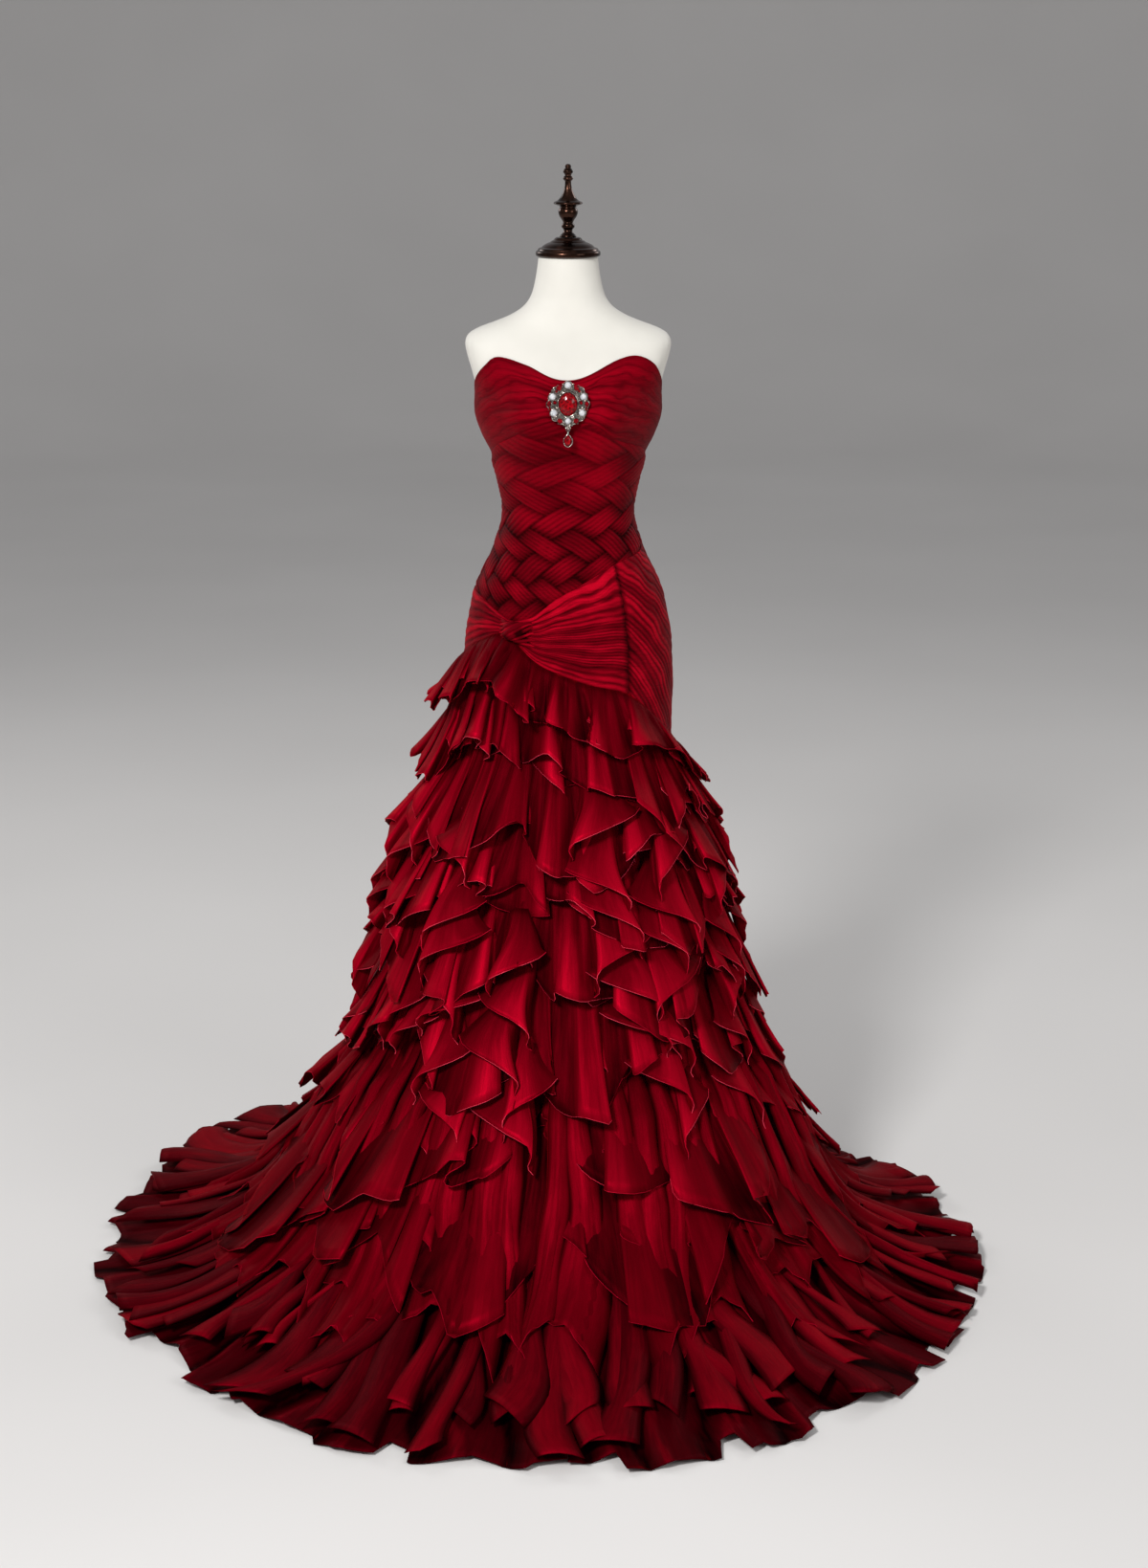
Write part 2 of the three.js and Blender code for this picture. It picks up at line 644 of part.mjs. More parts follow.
function solid(geometry, x, y, z) {
  const g = tidy(geometry.translate(x, y, z));
  const triVerts = new Uint32Array(g.index.array);
  const vertProperties = g.attributes.position.array;
  return new wasm.Manifold(new wasm.Mesh({ numProp: 3, vertProperties, triVerts }));
}
function geometryOf(manifold) {
  const m = manifold.getMesh();
  const geometry = new THREE.BufferGeometry();
  geometry.setAttribute("position", new THREE.BufferAttribute(m.vertProperties, 3));
  geometry.setIndex(new THREE.BufferAttribute(m.triVerts, 1));
  return geometry;
}

// The brooch at the centre front: a lobed frame that carries six clear stones, a red
// stone in the middle, and a pin below on which the drop swings.
const BROOCH = { z: 1395, stand: 12, thick: 3, lobes: 8, wide: 32, high: 33 };
const STONES = [
  { x: -23, z: 11, r: 5 },
  { x: 23, z: 11, r: 5 },
  { x: -21, z: -13, r: 5 },
  { x: 21, z: -13, r: 5 },
  { x: 0, z: 28, r: 5 },
  { x: 0, z: -25, r: 4.5 },
];
const CENTRE_STONE = { x: 13, y: 7, z: 16 };
const PIN = { z: -36, radius: 1.1, head: 2.4 };
const LOOP = { radius: 2.9, wire: 0.8 };

function brooch() {
  const { thick, wide, high, lobes } = BROOCH;
  const outline = new THREE.Shape();
  const steps = 32;
  for (let i = 0; i < steps; i++) {
    const a = (TURN * i) / steps;
    const r = 0.9 + 0.1 * Math.cos(lobes * a);
    outline[i ? "lineTo" : "moveTo"](wide * r * Math.sin(a), high * r * Math.cos(a));
  }
  const plate = new THREE.ExtrudeGeometry(outline, { depth: thick, bevelEnabled: false });
  let frame = solid(plate.rotateX(Math.PI / 2), 0, 0, 0);
  for (const { x, z, r } of STONES) {
    const gem = new THREE.IcosahedronGeometry(r, 0);
    frame = frame.add(solid(gem, x, -thick - r * 0.2, z));
  }
  const stem = new THREE.CylinderGeometry(2, 2, BROOCH.stand - 1, 8);
  frame = frame.add(solid(stem, 0, (BROOCH.stand - 1) / 2 - 0.5, 0));
  const tab = new THREE.BoxGeometry(4, 1.6, 12);
  frame = frame.add(solid(tab, 0, -0.8, PIN.z + 4));
  const pin = new THREE.CylinderGeometry(PIN.radius, PIN.radius, 5, 8);
  frame = frame.add(solid(pin, 0, -3.5, PIN.z));
  const head = new THREE.CylinderGeometry(PIN.head, PIN.head, 1.2, 8);
  frame = frame.add(solid(head, 0, -6.2, PIN.z));
  const front = skin(0, BROOCH.z, EASE + CLOTH).y - BROOCH.stand;
  const place = (mesh) => mesh.position.set(0, front, BROOCH.z);
  place(add("brooch_frame", geometryOf(frame), "silver"));
  const dome = new THREE.LatheGeometry(arc(6), 14).rotateX(Math.PI);
  dome.scale(CENTRE_STONE.x, CENTRE_STONE.y, CENTRE_STONE.z);
  const stone = add("brooch_stone", tidy(dome), "ruby");
  place(stone);
  stone.position.y -= thick + SEAM;
  place(add("brooch_drop", geometryOf(dropSolid()), "ruby"));
}
// Half a round, from the middle of its flat back to its front pole.
function arc(steps) {
  const points = [new THREE.Vector2(0, 0)];
  for (let i = 0; i <= steps; i++) {
    const a = (Math.PI / 2) * (i / steps);
    points.push(new THREE.Vector2(Math.cos(a), Math.sin(a)));
  }
  points.at(-1).x = 0;
  return points;
}
function dropSolid() {
  const ring = new THREE.TorusGeometry(LOOP.radius, LOOP.wire, 6, 12);
  const hang = PIN.z - (LOOP.radius - LOOP.wire - PIN.radius - SEAM);
  const neck = hang - LOOP.radius;
  const profile = [[0, -24], [5, -20], [6.5, -15], [4.5, -10], [1.6, -6], [2.4, -3], [1, 0.4], [0, 0.4]];
  const tear = new THREE.LatheGeometry(profile.map(([r, h]) => new THREE.Vector2(r, h)), 8);
  const y = -3.5;
  return solid(ring.rotateX(Math.PI / 2), 0, y, hang).add(solid(tear.rotateX(Math.PI / 2), 0, y, neck));
}

form();
stand();
bust();
midriff();
backs();
hips();
knot();
brooch();
yoke();
trains();
ruffles();

export default gown;
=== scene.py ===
"""A red strapless mermaid gown with ruffles and a train, on a dress form."""

import math

import bpy
import numpy as np
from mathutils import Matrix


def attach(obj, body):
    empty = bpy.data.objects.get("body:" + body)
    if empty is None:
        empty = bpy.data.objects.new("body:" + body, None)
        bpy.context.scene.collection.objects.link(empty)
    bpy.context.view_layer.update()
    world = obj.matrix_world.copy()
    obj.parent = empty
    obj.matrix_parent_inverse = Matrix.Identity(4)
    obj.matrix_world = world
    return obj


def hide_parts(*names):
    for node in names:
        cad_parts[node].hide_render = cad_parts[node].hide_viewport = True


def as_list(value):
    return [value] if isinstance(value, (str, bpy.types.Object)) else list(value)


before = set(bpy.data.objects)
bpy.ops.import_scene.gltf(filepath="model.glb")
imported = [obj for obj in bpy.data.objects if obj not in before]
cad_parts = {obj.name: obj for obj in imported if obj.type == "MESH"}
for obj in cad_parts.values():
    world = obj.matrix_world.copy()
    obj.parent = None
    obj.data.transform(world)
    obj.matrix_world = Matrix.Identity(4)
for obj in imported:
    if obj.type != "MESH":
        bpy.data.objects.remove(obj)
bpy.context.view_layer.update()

MM = 0.001
TAU = 2 * math.pi
DEG = math.pi / 180
# Keeps a division or a sign clear of 0.
TINY = 1e-9

# Sizes in millimetres, the same as in the solids. Azimuths grow from the centre front towards
# the viewer's right. They are in degrees in the tables, and in radians elsewhere.
CLOTH = 2.0
EASE = 1.0
SKIRT_TOP = 900
YOKE_BOTTOM = 360
TRAIN_FOLDS = 42
PANELS = 6
FAN_SEAM = 34 * DEG
KNOT = -31 * DEG
KNOT_Z = 1046
STAND = 28
LAP = 14
SWELL = 1.25
TRAIN_REACH = 600
HIP_MEAN = 930
FORM_BOTTOM = 800
FORM_TOP = 1602
CUP = dict(x=60, z=1374, lift=26, wide=40, tall=44)

BODY = dict(
    z=[800, 920, 1000, 1036, 1064, 1091, 1123, 1160, 1190, 1208, 1228, 1253, 1284, 1309, 1335,
       1368, 1406, 1420, 1435, 1460, 1477, 1488, 1497, 1505, 1515, 1528, 1545, 1571, 1602],
    side=[154, 160, 159, 155, 150, 144, 131, 113, 102.5, 97.5, 97.5, 101.5, 110, 116, 129,
          140, 140, 143, 147, 154, 156, 150, 134, 112, 88, 68, 56, 49, 44.5],
    front=[100, 102, 102, 101, 99, 96, 91, 83, 78, 76, 76, 79, 85, 91, 97,
           101, 97, 93, 88, 75, 64, 57, 52, 49, 47, 46, 45, 44, 43],
    back=[105, 114, 118, 115, 110, 104, 95, 83, 73, 69, 68, 71, 76, 80, 84,
          86, 84, 83, 82, 77, 71, 66, 63, 60, 57, 53, 50, 47, 45],
    square=[2.1] * 15 + [2.2, 2.3, 2.4, 2.6, 2.8, 2.9, 2.7, 2.5, 2.3, 2.2, 2.1, 2, 2, 2],
)
NECKLINE = dict(
    at=[-180, -130, -90, -70, -51, -36, -17, -6, 0, 6, 21, 34, 52, 70, 90, 130],
    z=[1388, 1392, 1405, 1425, 1445, 1459, 1448, 1431, 1427, 1432, 1455, 1461, 1449, 1427, 1405, 1392],
)
UNDERBUST = dict(
    at=[-180, -90, -45, -20, -5, 5, 16, 30, 60, 90],
    z=[1300, 1306, 1335, 1359, 1368, 1367, 1360, 1340, 1322, 1308],
)
HIP_TOP = dict(
    at=[-180, -90, -60, -40, -31, -19, -5, 30, 73, 90, 130],
    z=[1130, 1098, 1087, 1066, 1060, 1069, 1098, 1141, 1160, 1172, 1160],
)
HIP_BOTTOM = dict(
    at=[-180, -130, -90, -53, -40, -31, -17, -4, 9, 33, 56, 80, 100, 140],
    z=[900, 945, 986, 1028, 1038, 1032, 998, 979, 964, 945, 900, 856, 846, 858],
)
HEM = dict(
    at=[-180, -150, -121, -90, -60, -30, 0, 30, 58, 75, 90, 114, 135, 158],
    z=[650, 700, 762, 776, 768, 780, 772, 752, 706, 682, 664, 628, 595, 605],
)
SLOPE = dict(
    z=[900, 840, 780, 640, 500, 360, 250, 140, 60, 14, 0, 0],
    out=[0, 0.014, 0.044, 0.115, 0.17, 0.23, 0.32, 0.44, 0.59, 0.76, 0.9, 1],
    fold=[0, 0, 0, 0, 0, 0, 8, 13, 16, 16, 14, 12],
)
TIER_KEYS = ("folds", "edge", "slant", "depth", "point", "start", "gap")
TIER_ROWS = [
    (9, 878, 0.9, 14, 12, 0.2, 1.2), (11, 796, 0.72, 17, 20, 0.6, 1.6), (11, 712, 0.52, 18, 24, 0.1, 3.6),
    (12, 622, 0.32, 18, 26, 0.8, 1.3), (12, 522, 0.18, 19, 28, 0.4, 1.2), (13, 412, 0.08, 19, 30, 0.9, 1.3),
    (13, 298, 0, 19, 32, 0.3, 2.6), (14, 176, 0, 18, 32, 0.7, 2.6),
]
TIERS = [dict(zip(TIER_KEYS, row)) for row in TIER_ROWS]


def hermite(keys, values, at):
    """Smooth curve through a table's values."""
    keys = np.asarray(keys, float)
    values = np.asarray(values, float)
    at = np.asarray(at, float)
    n = len(keys)
    low = np.maximum(np.arange(n) - 1, 0)
    high = np.minimum(np.arange(n) + 1, n - 1)
    slope = (values[high] - values[low]) / (keys[high] - keys[low])
    i = np.clip(np.searchsorted(keys, at, side="right") - 1, 0, n - 2)
    h = keys[i + 1] - keys[i]
    x = np.clip((at - keys[i]) / h, 0, 1)
    x2, x3 = x * x, x * x * x
    return (
        values[i] * (2 * x3 - 3 * x2 + 1)
        + slope[i] * h * (x3 - 2 * x2 + x)
        + values[i + 1] * (3 * x2 - 2 * x3)
        + slope[i + 1] * h * (x3 - x2)
    )


def around(line, t):
    """Height or reach of a closed line at azimuth t, in radians."""
    keys = np.array(line["at"], float)
    values = np.array(line["z"], float)
    keys = np.concatenate([keys[-3:] - 360, keys, keys[:3] + 360])
    values = np.concatenate([values[-3:], values, values[:3]])
    degrees = (np.asarray(t) / DEG + 180) % 360 - 180
    return hermite(keys, values, degrees)


def skin(t, z, lift):
    """Point of the form's surface at azimuth t and height z, pushed outwards by lift."""
    t, z, lift = np.broadcast_arrays(t, z, lift)
    columns = ("side", "front", "back", "square")
    side, front, back, square = (hermite(BODY["z"], BODY[c], z) for c in columns)
    sin, cos = np.sin(t), np.cos(t)
    depth = np.where(cos > 0, front, back)
    x = side * np.sign(sin) * np.abs(sin) ** (2 / square)
    y = -depth * np.sign(cos) * np.abs(cos) ** (2 / square)
    nx = np.sign(x) * np.abs(x / side) ** (square - 1) / side
    ny = np.sign(y) * np.abs(y / depth) ** (square - 1) / depth
    n = np.hypot(nx, ny)
    rise = ((z - CUP["z"]) / CUP["tall"]) ** 2
    cup = sum(np.exp(-(((x - s * CUP["x"]) / CUP["wide"]) ** 2) - rise) for s in (-1, 1))
    cup = np.where(cos > 0, CUP["lift"] * cup, 0)
    return np.stack([x + nx / n * lift, y + ny / n * lift - cup, z + 0 * x], axis=-1)


# The skirt's slope as dense samples over its share s from the hip to the hem.
RUN = np.hypot(np.diff(SLOPE["z"]), np.diff(SLOPE["out"]) * TRAIN_REACH)
RUN_AT = np.concatenate([[0], np.cumsum(RUN)]) / RUN.sum()
SHARE = np.linspace(0, 1, 3001)
SLOPE_Z = np.maximum(0, hermite(RUN_AT, SLOPE["z"], SHARE))
SLOPE_OUT = hermite(RUN_AT, SLOPE["out"], SHARE)
SLOPE_FOLD = np.maximum(0, hermite(RUN_AT, SLOPE["fold"], SHARE))
TRAIN_START = RUN_AT[SLOPE["z"].index(YOKE_BOTTOM)]
FALL = int(np.argmax(SLOPE_Z <= 0))


def slope_at(s):
    """Height, reach and depth of the folds at share s of the slope."""
    return tuple(np.interp(s, SHARE, column) for column in (SLOPE_Z, SLOPE_OUT, SLOPE_FOLD))


def share_at(z):
    """Share of the slope at height z."""
    return np.interp(z, SLOPE_Z[: FALL + 1][::-1], SHARE[: FALL + 1][::-1])


def flare(t, out, lift):
    """Where the slope is, seen from above, at azimuth t and reach out."""
    hip = skin(t, SKIRT_TOP, EASE)
    reach = around(HEM, t)
    x = hip[..., 0] + (reach * np.sin(t) - hip[..., 0]) * out + lift * np.sin(t)
    y = hip[..., 1] + (-reach * np.cos(t) - hip[..., 1]) * out - lift * np.cos(t)
    return x, y


def skirt(t, z, lift):
    """The skirt's surface at azimuth t and height z, pushed outwards by lift."""
    t, z, lift = np.broadcast_arrays(t, z, lift)
    above = skin(t, np.maximum(z, SKIRT_TOP), EASE)
    above[..., 0] += lift * np.sin(t)
    above[..., 1] -= lift * np.cos(t)
    _, out, fold = slope_at(share_at(np.minimum(z, SKIRT_TOP)))
    x, y = flare(t, out, lift + fold * SWELL)
    below = np.stack([x, y, z], axis=-1)
    return np.where((z >= SKIRT_TOP)[..., None], above, below)


def mix(a, b, x):
    """The value at share x of the way from a to b."""
    return a + (b - a) * x


def ramp(x, low, high):
    """A smooth step from 0 at low to 1 at high."""
    s = np.clip((x - low) / (high - low), 0, 1)
    return s * s * (3 - 2 * s)


def bell(x):
    """1 at 0, and falling smoothly to 0 on both sides."""
    return np.exp(-(x**2))


def around_once(count):
    return TAU * np.arange(count) / count


# Meshes


def normals_of(points):
    """Unit normals of a grid of points, facing away from the form."""
    du = np.gradient(points, axis=0)
    dv = np.gradient(points, axis=1)
    n = np.cross(dv, du)
    return n / np.maximum(np.linalg.norm(n, axis=-1, keepdims=True), TINY)


def shares(columns, rows, low=0):
    """Shares of a grid of points: across from low to 1, and along from 0 to 1."""
    return np.meshgrid(np.linspace(low, 1, columns), np.linspace(0, 1, rows), indexing="ij")


# The hidden side of a cloth wall has one step for so many of the outer side.
COARSE = 2


class Builder:
    """Collects vertices, faces and cloth coordinates of one object."""

    def __init__(self):
        self.points, self.uvs, self.painted_shades = [], [], []
        self.faces, self.smooth, self.slots = [], [], []
        self.count = 0

    def add(self, points, uvs=None, crest_and_painted_shade=None):
        """Adds vertices, and gives their numbers in the same arrangement."""
        first = self.count
        flat = np.asarray(points, float).reshape(-1, 3)
        self.points.append(flat)
        self.painted_shades.append(np.ones(len(flat)) if crest_and_painted_shade is None else np.asarray(crest_and_painted_shade, float).ravel())
        self.uvs.append(np.zeros((len(flat), 2)) if uvs is None else np.asarray(uvs, float).reshape(-1, 2))
        self.count += len(flat)
        return first + np.arange(len(flat)).reshape(np.asarray(points).shape[:-1])

    def face(self, ids, slot=0, smooth=False, flip=False):
        ids = [int(v) for v in ids]
        self.faces.append(ids[::-1] if flip else ids)
        self.smooth.append(smooth)
        self.slots.append(slot)

    def quads(self, a, b, c, d, slot=0):
        made = np.stack([a, b, c, d], axis=-1).reshape(-1, 4)
        self.faces.extend(made.tolist())
        self.smooth.extend([True] * len(made))
        self.slots.extend([slot] * len(made))

    def shell(self, outer, inner, cloth, crest_and_painted_shade):
        """A closed wall, coarser on its inner side. Its painted shade is 0 in a crease and 1 on a fold."""
        uv = np.stack(cloth, axis=-1)
        thin = np.s_[::COARSE, ::COARSE]
        front = self.add(outer, uv, crest_and_painted_shade)
        # The inner side gets a darker painted shade.
        rear = self.add(inner[thin], uv[thin], crest_and_painted_shade[thin] * 0.8)
        self.quads(front[:-1, :-1], front[:-1, 1:], front[1:, 1:], front[1:, :-1])
        self.quads(rear[:-1, :-1], rear[1:, :-1], rear[1:, 1:], rear[:-1, 1:])
        for side, flip in ((np.s_[:, 0], False), (np.s_[:, -1], True), (0, True), (-1, False)):
            fine, coarse = front[side], rear[side]
            for i in range(len(coarse) - 1):
                edge = list(fine[i * COARSE : (i + 1) * COARSE + 1])
                self.face(edge + [coarse[i + 1], coarse[i]], flip=flip)

    def tube(self, line, radius, sides=7, slot=0, closed=False, crest_and_painted_shade=None):
        """A round cord along a line of points."""
        line = np.asarray(line, float)
        along = np.gradient(line, axis=0)
        if closed:
            along = (np.roll(line, -1, axis=0) - np.roll(line, 1, axis=0)) / 2
        along /= np.maximum(np.linalg.norm(along, axis=1, keepdims=True), TINY)
        up = np.tile([0.0, 0.0, 1.0], (len(line), 1))
        up[np.abs(along[:, 2]) > 0.9] = [1.0, 0.0, 0.0]
        a = np.cross(along, up)
        a /= np.linalg.norm(a, axis=1, keepdims=True)
        b = np.cross(a, along)
        angle = around_once(sides)[None, :, None]
        radius = np.broadcast_to(radius, (len(line),))[:, None, None]
        ring = line[:, None] + radius * (np.cos(angle) * a[:, None] + np.sin(angle) * b[:, None])
        ids = self.add(ring, crest_and_painted_shade=None if crest_and_painted_shade is None else np.repeat(crest_and_painted_shade, sides))
        after = np.roll(ids, -1, axis=1)
        if closed:
            self.quads(ids, after, np.roll(after, -1, axis=0), np.roll(ids, -1, axis=0), slot)
            return
        self.quads(ids[:-1], after[:-1], after[1:], ids[1:], slot)
        self.face(ids[0], slot)
        self.face(ids[-1], slot, flip=True)

    def turned(self, rings, smooth=False):
        """A turned solid from its points, angle first, with a face at either end."""
        ids = self.add(rings)
        after = np.roll(ids, -1, axis=0)
        self.quads(ids[:, :-1], after[:, :-1], after[:, 1:], ids[:, 1:])
        self.face(ids[:, 0], smooth=smooth, flip=True)
        self.face(ids[:, -1], smooth=smooth)

    def make(self, name, materials):
        mesh = bpy.data.meshes.new(name)
        points = np.concatenate(self.points) * MM
        mesh.from_pydata(points.tolist(), [], self.faces)
        mesh.polygons.foreach_set("use_smooth", self.smooth)
        for material in materials:
            mesh.materials.append(material)
        mesh.polygons.foreach_set("material_index", self.slots)
        layer = mesh.uv_layers.new(name="cloth")
        corner = np.zeros(len(mesh.loops), np.int32)
        mesh.loops.foreach_get("vertex_index", corner)
        uvs = np.concatenate(self.uvs)[corner] * MM
        layer.data.foreach_set("uv", uvs.astype(np.float32).ravel())
        # The painted shade goes to the materials as a point attribute.
        crest_and_painted_shade = mesh.attributes.new("crest_and_painted_shade", "FLOAT", "POINT")
        crest_and_painted_shade.data.foreach_set("value", np.concatenate(self.painted_shades).astype(np.float32))
        mesh.update()
        made = bpy.data.objects.new(name, mesh)
        bpy.context.scene.collection.objects.link(made)
        return made


GOWN = "gown_on_form"
DROP = "brooch_drop"


def dress(obj, slot, *nodes, body=GOWN):
    """Rides a piece on its body, and puts it in place of its solids."""
    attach(obj, body)
    if nodes:
        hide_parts(*nodes)
    return obj


def one_side(obj):
    """Area of one side of a closed cloth wall, in square metres."""
    return sum(p.area for p in obj.data.polygons) / 2


def run_along(points, axis):
    """Lengths of a grid's lines along one axis."""
    return np.linalg.norm(np.diff(points, axis=axis), axis=-1).sum(axis=axis)


def cut_size(grids):
    """Width and length of the flat cloth that grids of its points were gathered from."""
    widths = [np.median(run_along(p, 0)) for p in grids]
    lengths = [np.percentile(run_along(p, 1), 95) for p in grids]
    return round(sum(widths) * MM, 3), round(float(np.mean(lengths)) * MM, 3)


def declare(obj, grids, rests_on):
    """Works out the size and the area of the flat cloth that a piece was cut from, and keeps none of it."""
    width, length = cut_size(grids)
    area = min(one_side(obj), width * length)
    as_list(rests_on)
    return obj


# Materials


def linear(*rgb):
    """A screen colour of 0 to 255 as the renderer's linear colour."""
    screen = (c / 255 for c in rgb)
    return tuple(c / 12.92 if c <= 0.04 else ((c + 0.055) / 1.055) ** 2.4 for c in screen) + (1,)


class Nodes:
    """A material, the coordinates of its textures, and short calls for its nodes."""

    def __init__(self, name, coordinates="UV"):
        self.material = bpy.data.materials.new(name)
        self.material.use_nodes = True
        self.tree = self.material.node_tree
        self.shader = self.tree.nodes["Principled BSDF"]
        self.coordinates = coordinates

    def node(self, kind, **values):
        made = self.tree.nodes.new("ShaderNode" + kind)
        for key, value in values.items():
            if hasattr(made, key):
                setattr(made, key, value)
            else:
                made.inputs[key.replace("_", " ")].default_value = value
        return made

    def link(self, a, b):
        self.tree.links.new(a, b)

    def set(self, **values):
        for key, value in values.items():
            self.shader.inputs[key.replace("_", " ")].default_value = value

    def place(self, scale=(1, 1, 1)):
        source = self.node("TexCoord")
        mapping = self.node("Mapping")
        mapping.inputs["Scale"].default_value = scale
        self.link(source.outputs[self.coordinates], mapping.inputs["Vector"])
        return mapping.outputs["Vector"]

    def noise(self, scale, detail=3, rough=0.55, stretch=(1, 1, 1)):
        made = self.node("TexNoise", Scale=scale, Detail=detail, Roughness=rough)
        self.link(self.place(stretch), made.inputs["Vector"])
        return made.outputs["Fac"]

    def wave(self, period, direction):
        """Bands of a period in metres. The texture's own period is 0.314 over its scale."""
        made = self.node("TexWave", bands_direction=direction, Scale=0.314 / period)
        self.link(self.place(), made.inputs["Vector"])
        return made.outputs["Fac"]

    def weave(self, period):
        return self.add(self.wave(period, "X"), self.wave(period, "Y"))

    def add(self, a, b, weight=1.0):
        made = self.node("Math", operation="MULTIPLY_ADD")
        self.link(b, made.inputs[0])
        made.inputs[1].default_value = weight
        self.link(a, made.inputs[2])
        return made.outputs[0]

    def colours(self, factor, *stops):
        """The base colour from screen colours at stops of a factor."""
        made = self.node("ValToRGB")
        elements = made.color_ramp.elements
        while len(elements) < len(stops):
            elements.new(0.5)
        for element, (at, colour) in zip(elements, stops):
            element.position = at
            element.color = linear(*colour)
        self.link(factor, made.inputs["Fac"])
        self.link(made.outputs["Color"], self.shader.inputs["Base Color"])

    def bump(self, height, strength, distance):
        made = self.node("Bump", Strength=strength, Distance=distance)
        self.link(height, made.inputs["Height"])
        self.link(made.outputs["Normal"], self.shader.inputs["Normal"])


def cloth_colours(m, patches, threads, deep, main, bright):
    """Colour: painted shade where a crease hides from the light and painted highlight on a fold, with slow
    patches and fine threads.
    """
    crest_and_painted_shade = m.node("Attribute", attribute_name="crest_and_painted_shade")
    shade = m.node("MapRange")
    shade.inputs["To Min"].default_value = -0.12
    shade.inputs["To Max"].default_value = 0.5
    m.link(crest_and_painted_shade.outputs["Fac"], shade.inputs["Value"])
    factor = m.add(m.add(shade.outputs["Result"], patches, 0.3), threads, 0.24)
    m.colours(factor, (0.15, deep), (0.5, main), (0.86, bright))


def chiffon(name, deep, main, bright, sheen=0.1):
    """Fine crepe chiffon: a soft nap, and a crinkle along the pleats."""
    m = Nodes(name)
    m.set(Roughness=0.6, Sheen_Weight=sheen, Sheen_Roughness=0.4, Specular_IOR_Level=0.1)
    m.set(Sheen_Tint=linear(255, 30, 50), Specular_Tint=linear(255, 60, 80))
    patches = m.noise(16)
    crinkle = m.noise(240, 3, 0.6, (0.2, 1.8, 1))
    cloth_colours(m, patches, crinkle, deep, main, bright)
    m.bump(m.add(crinkle, m.weave(0.0009), 0.18), 0.5, 0.0007)
    return m.material


def organza(name, deep, main, bright, sheen=0.12):
    """Crisp organza with a silky gloss and long soft creases."""
    m = Nodes(name)
    m.set(Roughness=0.46, Metallic=0.3, Specular_IOR_Level=0.03)
    m.set(Sheen_Weight=sheen, Sheen_Roughness=0.3)
    m.set(Sheen_Tint=linear(255, 12, 36), Specular_Tint=linear(255, 40, 60))
    creases = m.noise(24, 3, 0.6, (1.9, 0.3, 1))
    threads = m.noise(210, 3, 0.6, (1, 0.05, 1))
    cloth_colours(m, creases, threads, deep, main, bright)
    m.bump(m.add(m.add(threads, creases, 1.3), m.weave(0.0011), 0.08), 0.5, 0.0011)
    return m.material


# How high the finest bumps are, in metres.
FINE_BUMP = 0.0004


def jersey(name):
    """Matt knitted cloth of the dress form."""
    m = Nodes(name, "Object")
    m.set(Roughness=0.78, Sheen_Weight=0.12, Specular_IOR_Level=0.25)
    grain = m.noise(900, 3, 0.5)
    patches = m.noise(9, 3, 0.5)
    m.colours(m.add(patches, grain, 0.1), (0.3, (204, 201, 193)), (0.75, (216, 213, 205)))
    m.bump(grain, 0.15, FINE_BUMP)
    return m.material


def mottled(name, low, high, noise, stops=(0.35, 0.7), bump=0, **values):
    """A hard surface with patches of two colours, which are raised too if bump isn't 0."""
    m = Nodes(name, "Object")
    m.set(**values)
    patches = m.noise(*noise)
    m.colours(patches, (stops[0], low), (stops[1], high))
    if bump:
        m.bump(patches, bump, FINE_BUMP)
    return m.material


def polished(name, dark, light, rough, metal, scale):
    return mottled(name, dark, light, (scale, 4, 0.6), bump=0.12, Metallic=metal, Roughness=rough)


def glass(name, deep, bright, gloss=0.24, clear=0):
    values = dict(Roughness=0.1, Specular_IOR_Level=gloss, Transmission_Weight=clear)
    return mottled(name, deep, bright, (300, 2, 0.5), **values)


# Each cloth's three colours: its painted shade in creases, its own colour, and its painted highlight on
# folds.
BODICE = chiffon("chiffon_red", (22, 0, 1), (86, 0, 9), (146, 1, 21))
# Brighter in its lightest colour than the bodice: painted highlight where the fans catch the light, with a
# real stronger sheen.
HIPS = chiffon("chiffon_draped", (24, 0, 2), (98, 0, 12), (190, 5, 33), 0.2)
RUFFLE = organza("organza_red", (24, 0, 2), (102, 0, 13), (180, 4, 33))
# A brighter copy of the organza: painted highlight along the rolled edges.
ROLLED_PAINTED_HIGHLIGHT = organza("organza_edge_painted_highlight", (96, 0, 16), (196, 14, 44), (255, 78, 104), 0.3)
# A darker copy of the organza: painted shade on the train, which is lit less.
TRAIN_PAINTED_SHADE = organza("organza_painted_shade", (12, 0, 1), (68, 0, 8), (132, 2, 20), 0.05)
# A darker copy of the organza: painted shade on the yoke under the ruffles.
UNDER_PAINTED_SHADE = organza("organza_under_painted_shade", (18, 0, 2), (52, 0, 6), (88, 1, 12))
FORM = jersey("form_jersey")
BRONZE = polished("bronze_dark", (30, 19, 14), (72, 47, 37), 0.2, 0.95, 45)
STEEL = polished("steel_brushed", (120, 120, 122), (168, 168, 170), 0.3, 1.0, 30)
SILVER = polished("silver_cast", (84, 74, 68), (216, 208, 200), 0.16, 1.0, 400)
RUBY = glass("ruby_glass", (70, 0, 4), (158, 0, 14))
GARNET = glass("garnet_glass", (60, 0, 5), (150, 2, 16))
CRYSTAL = glass("clear_glass", (206, 208, 214), (250, 250, 252), 0.6, 0.35)


def sewn(name, material, slot, outer, inner, cloth, crest_and_painted_shade, rests_on):
    """A panel between its outer and its inner side, in place of its solid."""
    b = Builder()
    b.shell(outer, inner, cloth, crest_and_painted_shade)
    made = dress(b.make(name + "_cloth", [material]), slot, name)
    return declare(made, [outer], rests_on)


# The dress form


